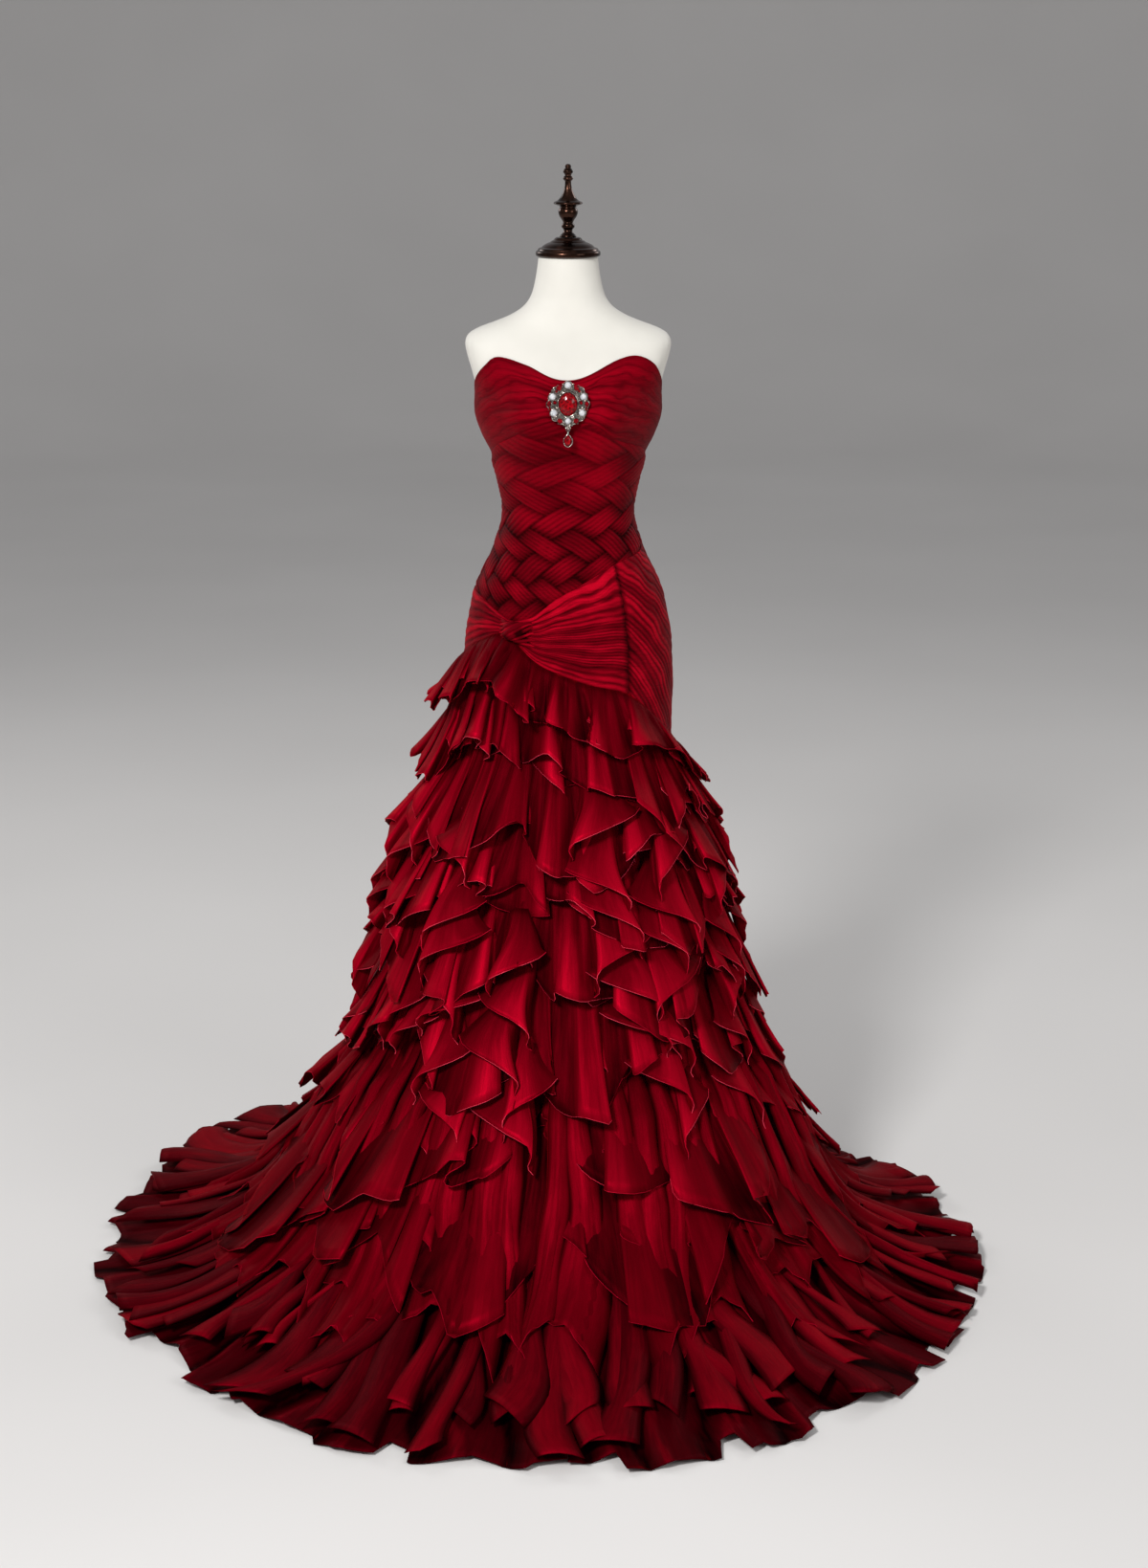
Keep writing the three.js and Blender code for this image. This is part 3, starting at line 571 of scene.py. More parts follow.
def form_torso():
    """The padded torso, a little tucked in under the gown, with a seam round each arm."""
    z = np.concatenate([np.linspace(FORM_BOTTOM, 1390, 22), np.linspace(1395, FORM_TOP, 64)])
    t = -math.pi + around_once(120)
    tt, zz = np.meshgrid(t, z, indexing="ij")
    tuck = -2 * (1 - ramp(zz, 1385, 1412))
    arm = np.abs(np.abs(skin(tt, zz, 0)[..., 0]) - (hermite(BODY["z"], BODY["side"], zz) - 9))
    seam = 0.6 * bell(arm / 1.3) * ramp(zz, 1400, 1420) * (1 - ramp(zz, 1478, 1486))
    p = skin(tt, zz, tuck - seam)
    b = Builder()
    ids = b.add(p)
    after = np.roll(ids, -1, axis=0)
    b.quads(ids[:, :-1], after[:, :-1], after[:, 1:], ids[:, 1:])
    for row, height, flip in ((0, FORM_BOTTOM, True), (-1, FORM_TOP, False)):
        middle = int(b.add(np.array([[0, 0, float(height)]]))[0])
        for i in range(len(t)):
            b.face((ids[i, row], after[i, row], middle), flip=flip)
    return dress(b.make("form_torso_cover", [FORM]), "form", "form_torso")


form_cover = form_torso()


# Fitted pieces of the bodice

# Thickness of a fitted piece under its pleats, in millimetres.
WALL = 1.4


def fitted(name, span, top, bottom, relief, steps, material=BODICE):
    """A cloth panel on the form, over a span of azimuth and between two lines round it. Each line
    comes with how far above it the panel ends. Relief gives what is raised, and the painted shade of its
    creases and folds."""
    columns, rows = steps
    u, v = shares(columns + 1, rows + 1)
    t = between(*span, u)
    z = mix(around(top[0], t) + top[1], around(bottom[0], t) + bottom[1], v)
    raised, crest_and_painted_shade = relief(u, v, t, z)
    outer = skin(t, z, EASE + WALL + raised)
    inner = skin(t, z, EASE)
    apart = np.linalg.norm(np.diff(skin(t, z, 0), axis=0), axis=-1)
    across = np.concatenate([[np.zeros(rows + 1)], np.cumsum(apart, axis=0)])
    crest_and_painted_shade = np.clip(crest_and_painted_shade, 0, 1)
    return sewn(name, material, "chiffon", outer, inner, (across, z), crest_and_painted_shade, [form_cover])


def between(low, high, u):
    """Azimuth at share u of a piece, a little clear of its neighbours."""
    clear = 0.0005
    return mix(low + clear, high - clear, u)


def wander(u, v, seed):
    """Slow seeded waves, for pleats that don't run like a machine's."""
    rng = np.random.default_rng(seed)
    count = 5
    total = 0
    for _ in range(count):
        a, b, c = rng.uniform(0.5, 3.2), rng.uniform(0.5, 3.5), rng.uniform(0, TAU)
        total = total + np.sin(a * TAU * u + c) * np.sin(b * TAU * v + 1.7 * c)
    return total / count


def pleat(phase, sharp=0.75):
    """A row of soft pleats: round ridges with a crisp crease between them."""
    return np.abs(np.sin(np.pi * phase)) ** sharp


def bust(name, span, seed):
    """A cup gathered to the centre front."""

    def relief(u, v, t, z):
        away = 1 - u if name.endswith("left") else u
        pull = wander(away, v, seed)
        lines = 9 * v + 0.8 * pull + 0.5 * wander(2 * away, 3 * v, seed + 1)
        fine = 27 * v + 2.2 * pull
        near = bell(away / 0.34)
        far = 0.45 + 0.55 * bell((away - 0.35) / 0.5)
        deep = (0.5 + 1.9 * near) * far * (0.7 + 0.9 * wander(1.5 * away, 2 * v, seed + 2))
        broad = 0.5 - 0.5 * np.cos(TAU * 3.3 * v + pull)
        swell = 1.4 * np.sin(np.pi * np.clip(away + 0.15, 0, 1)) ** 2 * broad
        hem = ramp(v, 0.0, 0.05) * ramp(1 - v, 0.0, 0.04)
        bound = 0.5 * (1 - ramp(v, 0.03, 0.05))
        raised = hem * (deep * pleat(lines) + 0.3 * pleat(fine) + swell) + bound
        folds = 0.5 * pleat(lines, 0.6) + 0.18 * pleat(fine, 0.5) + 0.32 * broad
        # Painted shade in the creases and towards the sides, painted highlight on the folds.
        crest_and_painted_shade = mix(0.62, folds + 0.1, hem * (0.35 + 0.65 * near)) - 0.3 * ramp(away, 0.7, 1)
        return raised, crest_and_painted_shade

    fitted(name, span, (NECKLINE, 0), (UNDERBUST, 0.4), relief, (124, 92))


bust("bust_left", (-math.pi / 2, 0), 11)
bust("bust_right", (0, math.pi / 2), 23)


def weave_height(x, z):
    """Pleated bands woven two over and two under: wide and low on top, narrow and steep below. Gives their
    height and their painted shade.
    """
    top, bottom = 1350, 1120
    upper, lower = 42, 34
    low = np.clip((top - z) / (top - bottom), 0, 1)
    pitch = mix(upper, lower, low)
    steep = np.tan(mix(24, 42, low) * DEG)
    depth = np.linspace(0, 1, 200)
    pitches = mix(upper, lower, (depth[1:] + depth[:-1]) / 2)
    travel = np.concatenate([[0], np.cumsum((top - bottom) / 199 / pitches)])
    run = np.interp(low, depth, travel)
    run = run + np.clip(bottom - z, 0, None) / lower - np.clip(z - top, 0, None) / upper
    bend = 0.1 * np.sin(z / 43 + 0.4) + 0.08 * np.sin(x / 41 + 1)
    first = run - steep / pitch * (x + 6) + 0.35 + bend
    second = run + steep / pitch * (x + 6) + 0.1 - 0.8 * bend
    cell = (np.floor(first) + np.floor(second)) % 4
    over = cell < 2
    across = np.where(over, first, second) % 1
    along = np.where(over, second % 1 + (cell == 1), first % 1 + (cell == 3))
    width = pitch * np.cos(np.arctan(steep))
    reach = np.minimum(along, 2 - along) * width
    side = np.minimum(across, 1 - across) * width
    crisp = mix(0.5, 1, ramp(low, 0.3, 0.75))
    body = 3.0 - crisp * (2.0 * np.exp(-reach / 6) + 0.8 * np.exp(-side / 0.9))
    lines = pleat(across * 5 + 0.12 * np.sin(along * 3), 0.7)
    # Painted sheen, lighter on some bands and darker on others.
    sheen = 0.16 * np.sin(2.3 * first + 1) * np.sin(1.7 * second)
    # Painted shade in the gaps between the bands and in the pleats' creases.
    dark = 0.75 * np.exp(-reach / 7) + 0.5 * np.exp(-side / 1.2) + 0.42 * (1 - lines)
    threads = 1.1 * crisp * lines * (1 - 0.6 * np.exp(-side / 1.5))
    raised = body + threads + 0.5 * np.sin(np.pi * across) ** 0.7
    return raised, 0.82 + sheen - crisp * dark


def midriff():
    """The woven front, from side seam to side seam."""

    def relief(u, v, t, z):
        side = hermite(BODY["z"], BODY["side"], z)
        edge = np.clip(np.minimum(16 * v, 16 * (1 - v)), 0, 1)
        ends = np.clip(np.minimum(24 * u, 24 * (1 - u)), 0, 1)
        raised, crest_and_painted_shade = weave_height(side * t * 0.88, z)
        return edge * ends * raised, crest_and_painted_shade

    span = (-math.pi / 2, math.pi / 2)
    fitted("midriff_front", span, (UNDERBUST, 0.5), (HIP_TOP, -1), relief, (204, 142))


midriff()


def back(name, span, seed):
    """One pleated half of the back, from the neckline to the skirt."""

    def relief(u, v, t, z):
        pull = wander(u, v, seed)
        away = 1 - u if name.endswith("right") else u
        lines = 30 * v + 0.5 * pull - 1.1 * (1 - away)
        seam = 1 - bell(away / 0.05)
        folded = pleat(lines, 0.9)
        raised = ramp(v, 0.0, 0.02) * (0.35 + 0.75 * (0.6 + 0.4 * pull) * folded)
        # Painted shade in the pleats' creases and along the seam.
        return raised * mix(0.35, 1, seam), 0.55 + 0.45 * folded * seam

    fitted(name, span, (NECKLINE, 0), (HIP_BOTTOM, 0), relief, (60, 156))


back("back_left", (-math.pi, -math.pi / 2), 31)
back("back_right", (math.pi / 2, math.pi), 37)


# Share of the pleats used up along the right fan's height: its top band is broad and smooth.
BAND = ((0, 0.3, 0.4, 0.8, 1), (0, 0.12, 0.2, 0.86, 1))


def hip(name, span, knot_side, pleats, skew, steps, seed):
    """A drape of the hip, which opens from the knot at its start or end, or from no knot."""
    knotted = knot_side != "none"
    right = name == "hip_fan_right"

    def relief(u, v, t, z):
        away = {"end": 1 - u, "start": u, "none": 0 * u + 1}[knot_side]
        run = away if knotted else u
        pull = wander(run, v, seed)
        slant = pleats * (np.interp(v, *BAND) if right else v) - pleats * skew * u
        lines = slant + (0.34 if knotted else 1.1) * pull + 0.16 * wander(2 * run, 3 * v, seed + 3)
        varied = np.clip(0.85 + 0.75 * wander(1.4 * run, 2 * v, seed + 5), 0.3, 1.1)
        opening = np.clip(0.4 + 1.2 * away, 0, 1)
        broad = ramp(0.34 - v, 0, 0.1) if right else 0 * v
        deep = opening * (1.2 + 0.6 * wander(1.3 * away, 3 * v, seed + 1)) * (1 + 1.2 * broad)
        group = 0.5 + 0.5 * np.cos(TAU * (slant / 4.4 + 0.3 * pull))
        threads = 0.25 * pleat(3.2 * slant + 2 * pull, 0.6) * broad
        roll = 0.7 * bell(v / 0.04) + 1.6 * bell((1 - v) / 0.07)
        near = 1.6 * bell(away / 0.12) if knotted else 0
        to_seam = {"hip_fan_right": 1 - u, "hip_side_right": u}.get(name)
        seam = 0 * u if to_seam is None else bell(to_seam / 0.03)
        folded = 1 - varied * (1 - pleat(lines, 0.8))
        # Painted shade in the creases, along the seam and beside the knot; painted highlight on the folds,
        # the threads and the broad top band.
        crest_and_painted_shade = 0.02 + 0.55 * folded + 0.27 * group + 0.22 * broad * folded
        crest_and_painted_shade = crest_and_painted_shade - 0.42 * seam + threads - 0.1 * broad
        if knotted:
            # Two hollows beside the knot: dips in the cloth, darkened with painted shade.
            aside = ((away - 0.03) / 0.08) ** 2
            hollow = np.exp(-aside - ((v - (0.3 if right else 0.86)) / 0.16) ** 2)
            crest_and_painted_shade = crest_and_painted_shade - 0.2 * np.exp(-away / 0.1) - 1.3 * hollow
            near = near - 2.2 * hollow
        raised = deep * folded + 0.9 * opening * group + roll + near + threads
        return raised * (1 - 0.75 * seam), crest_and_painted_shade

    fitted(name, span, (HIP_TOP, 0.8), (HIP_BOTTOM, -0.6), relief, steps, HIPS)


def knot():
    """Two pleated drapes twisted once round each other, which open into the fans."""
    b = Builder()
    x = np.linspace(-1, 1, 61)
    out = np.abs(x)
    strands = 12
    t = KNOT + x * mix(13, 16, (x + 1) / 2) * DEG
    opening = np.where(x < 0, mix(11, 14, out**1.3), mix(11, 24, out**1.2))
    middle = KNOT_Z + np.where(x < 0, 5, -11) * out**1.5
    flat = mix(1.0, 0.1, ramp(out, 0.1, 0.75))
    widths, lengths = [], []
    for i in range(strands):
        turn = TAU * (i + 0.5) / strands + math.pi * ramp(x, -0.9, 0.9)
        lift = EASE + mix(3.2, 1.4, out) + flat * 7.5 * (1 + np.cos(turn)) - 3.4 * ramp(out, 0.5, 1)
        line = skin(t, middle + opening * np.sin(turn), lift)
        thick = mix(3.7, 0.9, out**0.9) * (1 + 0.15 * math.sin(3 * i))
        # Painted shadows in the two voids beside the twist.
        right_void_shadow = np.exp(-(((x - 0.32) / 0.14) ** 2) - (np.sin(turn) / 0.5) ** 2)
        left_void_shadow = np.exp(-(((x + 0.22) / 0.14) ** 2) - ((np.sin(turn) + 0.8) / 0.4) ** 2)
        # Painted light: lighter where a strand faces the front, alternate strands lighter and darker, and
        # painted shade in the middle.
        shade = 0.5 + 0.26 * np.cos(turn) + 0.12 * (-1) ** i - 0.22 * bell(x / 0.25)
        shade = shade - 0.9 * (right_void_shadow + left_void_shadow)
        b.tube(line, thick, sides=10, crest_and_painted_shade=np.clip(shade, 0, 1))
        widths.append(math.pi * thick.mean())
        lengths.append(run_along(line, 0))
    made = dress(b.make("hip_knot_cloth", [HIPS]), "chiffon", "hip_knot")
    width, length = round(sum(widths) * MM, 3), round(float(np.mean(lengths)) * MM, 3)
    area = math.floor(min(one_side(made), width * length) * 1e4) / 1e4


knot()
hip("hip_fan_left", (-math.pi / 2, KNOT + 0.1 * DEG), "end", 7, 0, (84, 76), 41)
hip("hip_fan_right", (KNOT + 0.2 * DEG, FAN_SEAM), "start", 23, 0, (84, 180), 43)
hip("hip_side_right", (FAN_SEAM, math.pi / 2), "none", 18, 0.46, (68, 192), 47)


# The skirt


def yoke(k):
    """One gore of the yoke, which carries the ruffles and the train."""
    low = -math.pi + k * math.pi / 2
    u, v = shares(91, 21)
    t = between(low, low + math.pi / 2, u)
    z = mix(around(HIP_BOTTOM, t) + 0.4, YOKE_BOTTOM + 0.4, v)
    folds = 1.6 * ramp(v, 0, 0.2) * (0.5 - 0.5 * np.cos(TAU * 18 * u + 1.5 * wander(u, v, 50 + k)))
    outer, inner = skirt(t, z, 1.2 + folds), skirt(t, z, 0)
    # Painted shade: dark overall under the ruffles, lighter on the folds.
    crest_and_painted_shade = 0.3 + 0.4 * folds
    name = f"skirt_yoke_{k + 1}"
    return sewn(name, UNDER_PAINTED_SHADE, "chiffon", outer, inner, (u * 300, z), crest_and_painted_shade, [form_cover])


yokes = [yoke(k) for k in range(4)]

# Half the thickness of free cloth, and the radius of its rolled edge.
HALF_WALL = 0.5
RIM = 0.6


def loose(name, leaves, materials, rests_on, nodes=(), upward=False):
    """A piece of free leaves of cloth: for each its middle, cloth coordinates, painted shade and the painted
    highlight of its rolled edge.
    """
    b = Builder()
    grids = []
    for middle, cloth, crest_and_painted_shade, painted_rim_highlight in leaves:
        n = normals_of(middle) * HALF_WALL
        if upward:
            n *= np.sign(n[..., 2].mean() + TINY)
        b.shell(middle + n, middle - n, cloth, crest_and_painted_shade)
        if painted_rim_highlight is not None:
            b.tube(middle[:, -1], RIM, sides=4, slot=1, crest_and_painted_shade=painted_rim_highlight)
        grids.append(middle)
    made = dress(b.make(name, materials), "organza", *nodes)
    return declare(made, grids, rests_on)


def tier_edge(k, t):
    """Height of a tier's hem at azimuth t, before its points."""
    return TIERS[k]["edge"] + TIERS[k]["slant"] * (around(HIP_BOTTOM, t) - HIP_MEAN)


def zigzag(x):
    """A triangular wave between -1 and 1."""
    return np.arcsin(np.sin(x)) * (2 / math.pi)


def swag(x, share):
    """A skewed wave of period 1: falls slowly from 1 to -1 over its share, then rises fast."""
    y = x % 1
    return np.where(y < share, 1 - 2 * y / share, -1 + 2 * (y - share) / (1 - share))


# The recess between the left and the right cascade, dark with painted shade, and how each
# tier's hem swags away from it: azimuth, swags in a turn, and where in a swag the recess is.
RECESS = [-0.5, -0.34, -0.3, -0.26, -0.22, -0.14, -0.08, -0.04]
SWAGS = [(4, 0.1), (5, 0.85), (5, 0.35), (4.5, 0.02), (5.5, 0.12), (5, 0.5), (6, 0.05), (7, 0.3)]

# The lowest tiers run out over the train in long narrow points, in millimetres.
LONG_FROM = 6
LONG = (40, 50)

# How far a ruffle's cloth runs up under the tier above it.
TUCKED = LAP + 10


def ruffle(k, q, v, layer):
    """The middle of a ruffle's cloth at fold q and share v, and its painted shade.

    Each large fold carries two finer ones. Layer 0 lies under and has small points, and
    layer 1 hangs over it in swags and longer points."""
    tier = TIERS[k]
    folds = tier["folds"]
    turn = TAU * q / folds
    seed = TAU * tier["start"]
    large = TAU * q
    fine = 2 * large + 0.7 * np.sin(5 * turn + 2 * seed) + 0.3 * layer
    uneven = 0.05 * np.sin(3 * turn + seed) + 0.025 * np.sin(7 * turn + 2 * seed)
    leaning = np.tanh(3 * np.sin(turn - math.pi + 0.25))
    flute = (0.05 + 0.05 * v) * v * np.sin(2 * fine) + 0.3 * v**1.2 * leaning * np.cos(fine)
    t = -math.pi + turn + seed / folds + uneven + TAU / folds / 2 * flute
    fullness = 1 - 0.42 * np.maximum(0, np.sin(t)) ** 2
    varied = 1 + 0.26 * np.sin(5 * turn + seed) + 0.2 * np.sin(11 * turn - seed)
    aside = (t - RECESS[k] + math.pi) % TAU - math.pi
    recess = 0.85 * bell(aside / 0.12)
    slight = np.sin(3 * fine + 2 * np.sin(3 * turn + seed))
    small = 2.2 * slight * np.minimum(1, 4 * v) + 1.2 * v * np.sin(7 * fine)
    if k == 0:
        recess = 0.0
        varied = varied + 0.8 * bell((t - KNOT) / 0.22)
        near = bell((t - KNOT - 0.28) / 0.5) * np.minimum(1, 3 * v)
        boxed = np.tanh(2.6 * np.sin(40 * t + 0.8 * np.sin(9 * t)) + 0.5)
        small = small * (1 + near) + 8 * near * boxed
    half = tier["depth"] * fullness * varied * (1 - 0.55 * recess)
    crest_and_painted_shade = 0.5 - 0.5 * np.cos(fine)
    base = 0.5 - 0.5 * np.cos(large)
    out = half * (0.75 * base * v**2 + 1.35 * crest_and_painted_shade**0.9 * v**1.35)
    out = out + (STAND + 1) * fullness * v**0.8 * (1 - 0.8 * recess * v) + small * (1 - 0.3 * v)
    top = tier_edge(k - 1, t) + TUCKED if k else around(HIP_BOTTOM, t) + 1.6
    edge = tier_edge(k, t)
    if layer:
        count, start = SWAGS[k]
        drift = 0.1 * np.sin(3 * aside + seed) * np.minimum(1, np.abs(aside))
        wave = swag(count * np.abs(aside) / TAU + start + drift, 0.74 if k else 0.6)
        point = zigzag(round(folds * 0.9) * turn + 2 * seed + 1.2 * np.sin(2 * turn))
        hanging = 1.7 * wave + 0.75 * point - 0.75 + 0.8 * recess
        edge = edge + tier["point"] * hanging - 6 * np.cos(fine + 0.8)
        edge = np.minimum(edge, top - 40)
        if k >= LONG_FROM:
            side = np.where(np.sin(3 * turn + seed) > 0, 1, -1)
            panels = 1.3 * folds * (turn + 0.05 * np.sin(7 * turn)) / TAU
            reach = 0.75 + 0.35 * np.sin(5 * turn + 2 * seed) + 0.2 * np.sin(13 * turn)
            edge = edge - LONG[k - LONG_FROM] * (0.5 - 0.5 * swag(side * panels, 0.84)) * reach
        out = out + 5 * v + 1.6 + 0.2 * v * np.clip(tier_edge(k, t) - edge, 0, 90)
    else:
        tip = zigzag(round(folds * 1.2) * turn + seed)
        edge = edge - tier["point"] * (0.9 * tip + 0.2) - 6 * np.cos(fine + 0.8) * fullness
        out = out * 0.74
    if k >= LONG_FROM:
        low = share_at(np.maximum(edge, 26 + 10 * np.sin(7 * turn)))
        z = slope_at(mix(share_at(top), low, v))[0]
        out = out * mix(1, 0.55, v * ramp(160 - edge, 0, 140))
    else:
        z = mix(top, edge, v)
    # Painted shade: darker in the creases, near the top under the tier above, in the recess and on the lowest
    # tiers; painted highlight on the folds.
    shade = mix(1, crest_and_painted_shade, 0.85 * v**0.5) * mix(0.25, 1, v**0.8)
    shade = shade * (1 - 0.5 * recess) * (0.86 + 0.14 * slight) * (1 - 0.17 * max(0, k - 5))
    lift = CLOTH * 1.5 + tier["gap"]
    if k == 0:
        lift = mix(1.3, lift, ramp(v, 0, 0.12))
        # Painted shade in the box pleats under the knot.
        shade = shade * mix(1, 0.72 + 0.38 * boxed, near)
    return skirt(t, z, lift + out), shade


def ruffle_leaves(k, low, high):
    """Both layers of a tier's length from fold low to fold high."""
    gap = 0.2 / (TAU * 200) * TIERS[k]["folds"]
    per_fold = 38
    u, v = shares(per_fold * (high - low) + 1, 13)
    v = v**0.9
    q = mix(low + gap, high - gap, u) + 0.125
    hem = q[:, -1]
    # Painted highlight along the rolled hem, dimmer on the first tier and on the lowest tiers.
    painted_rim_highlight = 0.74 + 0.4 * np.sin(2.3 * hem) * np.sin(5.1 * hem + k)
    painted_rim_highlight = painted_rim_highlight * (0.7 if k == 0 else 1 - 0.3 * max(0, k - 5))
    for layer in (0, 1):
        p, shade = ruffle(k, q, v, layer)
        yield p, (u * (high - low) * 220, v * run_along(p, 1).mean()), shade, painted_rim_highlight


def ruffle_piece(k, i):
    low, high = (round(TIERS[k]["folds"] * (i + j) / 3) for j in (0, 1))
    name = f"ruffle_{k + 1}_{i + 1}"
    leaves = ruffle_leaves(k, low, high)
    return loose(name + "_cloth", leaves, [RUFFLE, ROLLED_PAINTED_HIGHLIGHT], yokes, [name])


ruffles = [ruffle_piece(k, i) for k in range(len(TIERS)) for i in range(3)]


# Loose corners of the ruffles that fall over one another in cascades. Azimuth at the first
# and the last corner, their heights, how many there are, and the side they lean to.
CASCADES = [
    (-66, -50, 850, 520, 6, -1), (-40, -30, 790, 430, 7, -1), (-18, -10, 640, 400, 5, 1),
    (8, 20, 850, 560, 6, 1), (34, 27, 800, 430, 7, 1), (60, 52, 740, 450, 6, 1),
    (96, 84, 770, 450, 6, 1), (130, 124, 760, 460, 6, -1), (166, 172, 800, 440, 7, 1),
    (-152, -148, 820, 450, 7, -1), (-112, -118, 820, 470, 6, 1), (-88, -84, 820, 480, 6, -1),
]


def corners(k):
    """Handkerchief corners, each folded once over itself, down one cascade."""
    first, last, high, low, count, side = CASCADES[k]
    rng = np.random.default_rng(370 + k)
    u, v = shares(13, 13, -1)
    for i in range(count):
        step = (i + rng.uniform(-0.25, 0.25)) / (count - 1)
        t0 = (mix(first, last, step) + rng.uniform(-4, 4)) * DEG
        z0 = mix(high, low, step)
        radius = 165 + (900 - z0) * 0.27
        wide = rng.uniform(30, 46) / radius
        long = rng.uniform(88, 128)
        lean = side if i % 3 else -side
        t = t0 + wide * (u * mix(0.4, 1, v) + 0.42 * lean * v * np.cos(np.pi * u))
        t = t + 0.1 * wide * np.sin(5 * v + i)
        z = z0 - long * v * (1 + 0.42 * lean * u * v)
        lift = mix(22, 60 + 0.05 * long, v**0.8)
        lift = lift + v * (13 * (1 - u**2) - 9 * u**2 + 2.5 * np.sin(9 * u + i))
        p = skirt(t, z, lift * (1 - 0.36 * np.maximum(0, np.sin(t)) ** 2))
        # Painted shade: darker at the top and towards the folded sides, with some random tone; painted
        # highlight along the hem.
        shade = mix(0.25, 1, v**0.7) * (0.72 + 0.28 * np.cos(np.pi * u)) * (0.9 + 0.1 * np.sin(11 * u + i))
        yield p, (u * wide * radius + 120 * i, v * long), shade, 0.75 + 0.3 * np.sin(4 * u[:, -1] + i)


for k in range(len(CASCADES)):
    loose(f"ruffle_corners_{k + 1}", corners(k), [RUFFLE, ROLLED_PAINTED_HIGHLIGHT], ruffles)


def train(q, s, lift, fold):
    """The train's surface at fold q and share s of the skirt's slope."""
    t = -math.pi + TAU * q / TRAIN_FOLDS
    z, out, deep = slope_at(s)
    step = 0.01
    z0, out0, _ = slope_at(s - step)
    z1, out1, _ = slope_at(np.minimum(1, s + step))
    run = (out1 - out0) * TRAIN_REACH
    up = run / np.hypot(run, z0 - z1)
    off = lift + deep * fold * (1 + (SWELL - 1) * np.sin(5 * t))
    x, y = flare(t, out, off * (1 - up))
    return np.stack([x, y, z + off * up], axis=-1)


def train_panel(k):
    """A flared panel with folds that lap over one another and a ragged hem."""
    per = TRAIN_FOLDS // PANELS
    rng = np.random.default_rng(70 + k)
    columns = 20 * per + 1
    u, v = shares(columns, 47)
    q = mix(k * per + 0.004, (k + 1) * per - 0.004, u)
    cut = []
    while len(cut) < columns:
        wide = int(rng.integers(5, 16))
        cut += list(rng.uniform(-0.032, 0.012) + rng.uniform(-0.022, 0.022) * (np.arange(wide) / wide - 0.5))
    ragged = np.array(cut[:columns])[:, None] * ramp(v, 0.6, 1)
    start = TRAIN_START + 0.0009
    s = np.minimum(start + (1 + ragged - start) * v, 1)
    phase = q + 0.25 * np.sin(3 * v * math.pi + 2 * np.sin(q)) * ramp(v, 0.3, 0.9)
    wave = 0.5 - 0.5 * np.cos(TAU * phase)
    lapped = (2 * phase) % 1
    lapped = np.where(lapped < 0.82, lapped / 0.82, (1 - lapped) / 0.18)
    fold = 0.72 * wave + 0.3 * lapped * ramp(v, 0.1, 0.5)
    outer = train(q, s, 1.2, fold)
    inner = train(q, s, 0.1, fold * 0.96)
    for side in (outer, inner):
        side[..., :2] *= 1 + 0.8 * np.maximum(0, ragged)[..., None]
    # Painted shade in the laps between the folds.
    crest_and_painted_shade = 0.66 * np.clip(0.75 * wave + 0.6 * lapped - 0.1, 0, 1)
    name, cloth = f"train_panel_{k + 1}", (u * 700, v * 760)
    return sewn(name, TRAIN_PAINTED_SHADE, "organza", outer, inner, cloth, crest_and_painted_shade, yokes)


trains = [train_panel(k) for k in range(PANELS)]

# How many strips and godets lie over each panel of the train.
STRIPS = 20
GODETS = 9

# Height above the floor against how far a godet hangs off the skirt, in millimetres.
HANG = ((0, 30, 90, 176, 300, 430), (10, 16, 30, 56, 58, 14))


def strips(k):
    """Long narrow organza strips that lie over the train, with ragged ends."""
    rng = np.random.default_rng(170 + k)
    u, v = shares(9, 37, -1)
    for i in range(STRIPS):
        q0 = (k + (i + rng.uniform(0.2, 0.8)) / STRIPS) * TRAIN_FOLDS / PANELS
        start = share_at(rng.uniform(255, 330))
        end = rng.uniform(0.89, 1.01)
        wide = rng.uniform(0.26, 0.7)
        bend = rng.uniform(-0.8, 0.8) * np.sin(v * rng.uniform(2, 4)) * v
        bend = bend + rng.uniform(-0.3, 0.3) * np.sin(9 * v) * v
        skew = rng.uniform(-0.03, 0.03)
        q = q0 + bend + u * wide * mix(0.35, 0.62, v) * (1 - 0.25 * np.sin(7 * v + i) ** 2)
        s = np.minimum(1, start + (end + skew * u - start) * v)
        arch = (1 - u**2) * rng.uniform(6, 15) * ramp(v, 0, 0.2) * (0.7 + 0.3 * np.sin(6 * v + 2 * i))
        curl = 5 * rng.uniform(-1, 1) * u * v
        base = 1.05 + rng.uniform(0, 0.25)
        tone = rng.uniform(0.62, 1.12)
        lift = 3 + arch + np.maximum(curl, -3) + rng.uniform(0, 6) * v
        # Painted shade at the strips' edges and towards their tops, with a random tone for each strip.
        shade = (1 - 0.85 * u**4) * mix(0.5, 0.95, v) * tone
        yield train(q, s, lift, base), (u * 30 + 90 * i, v * 700), shade, None


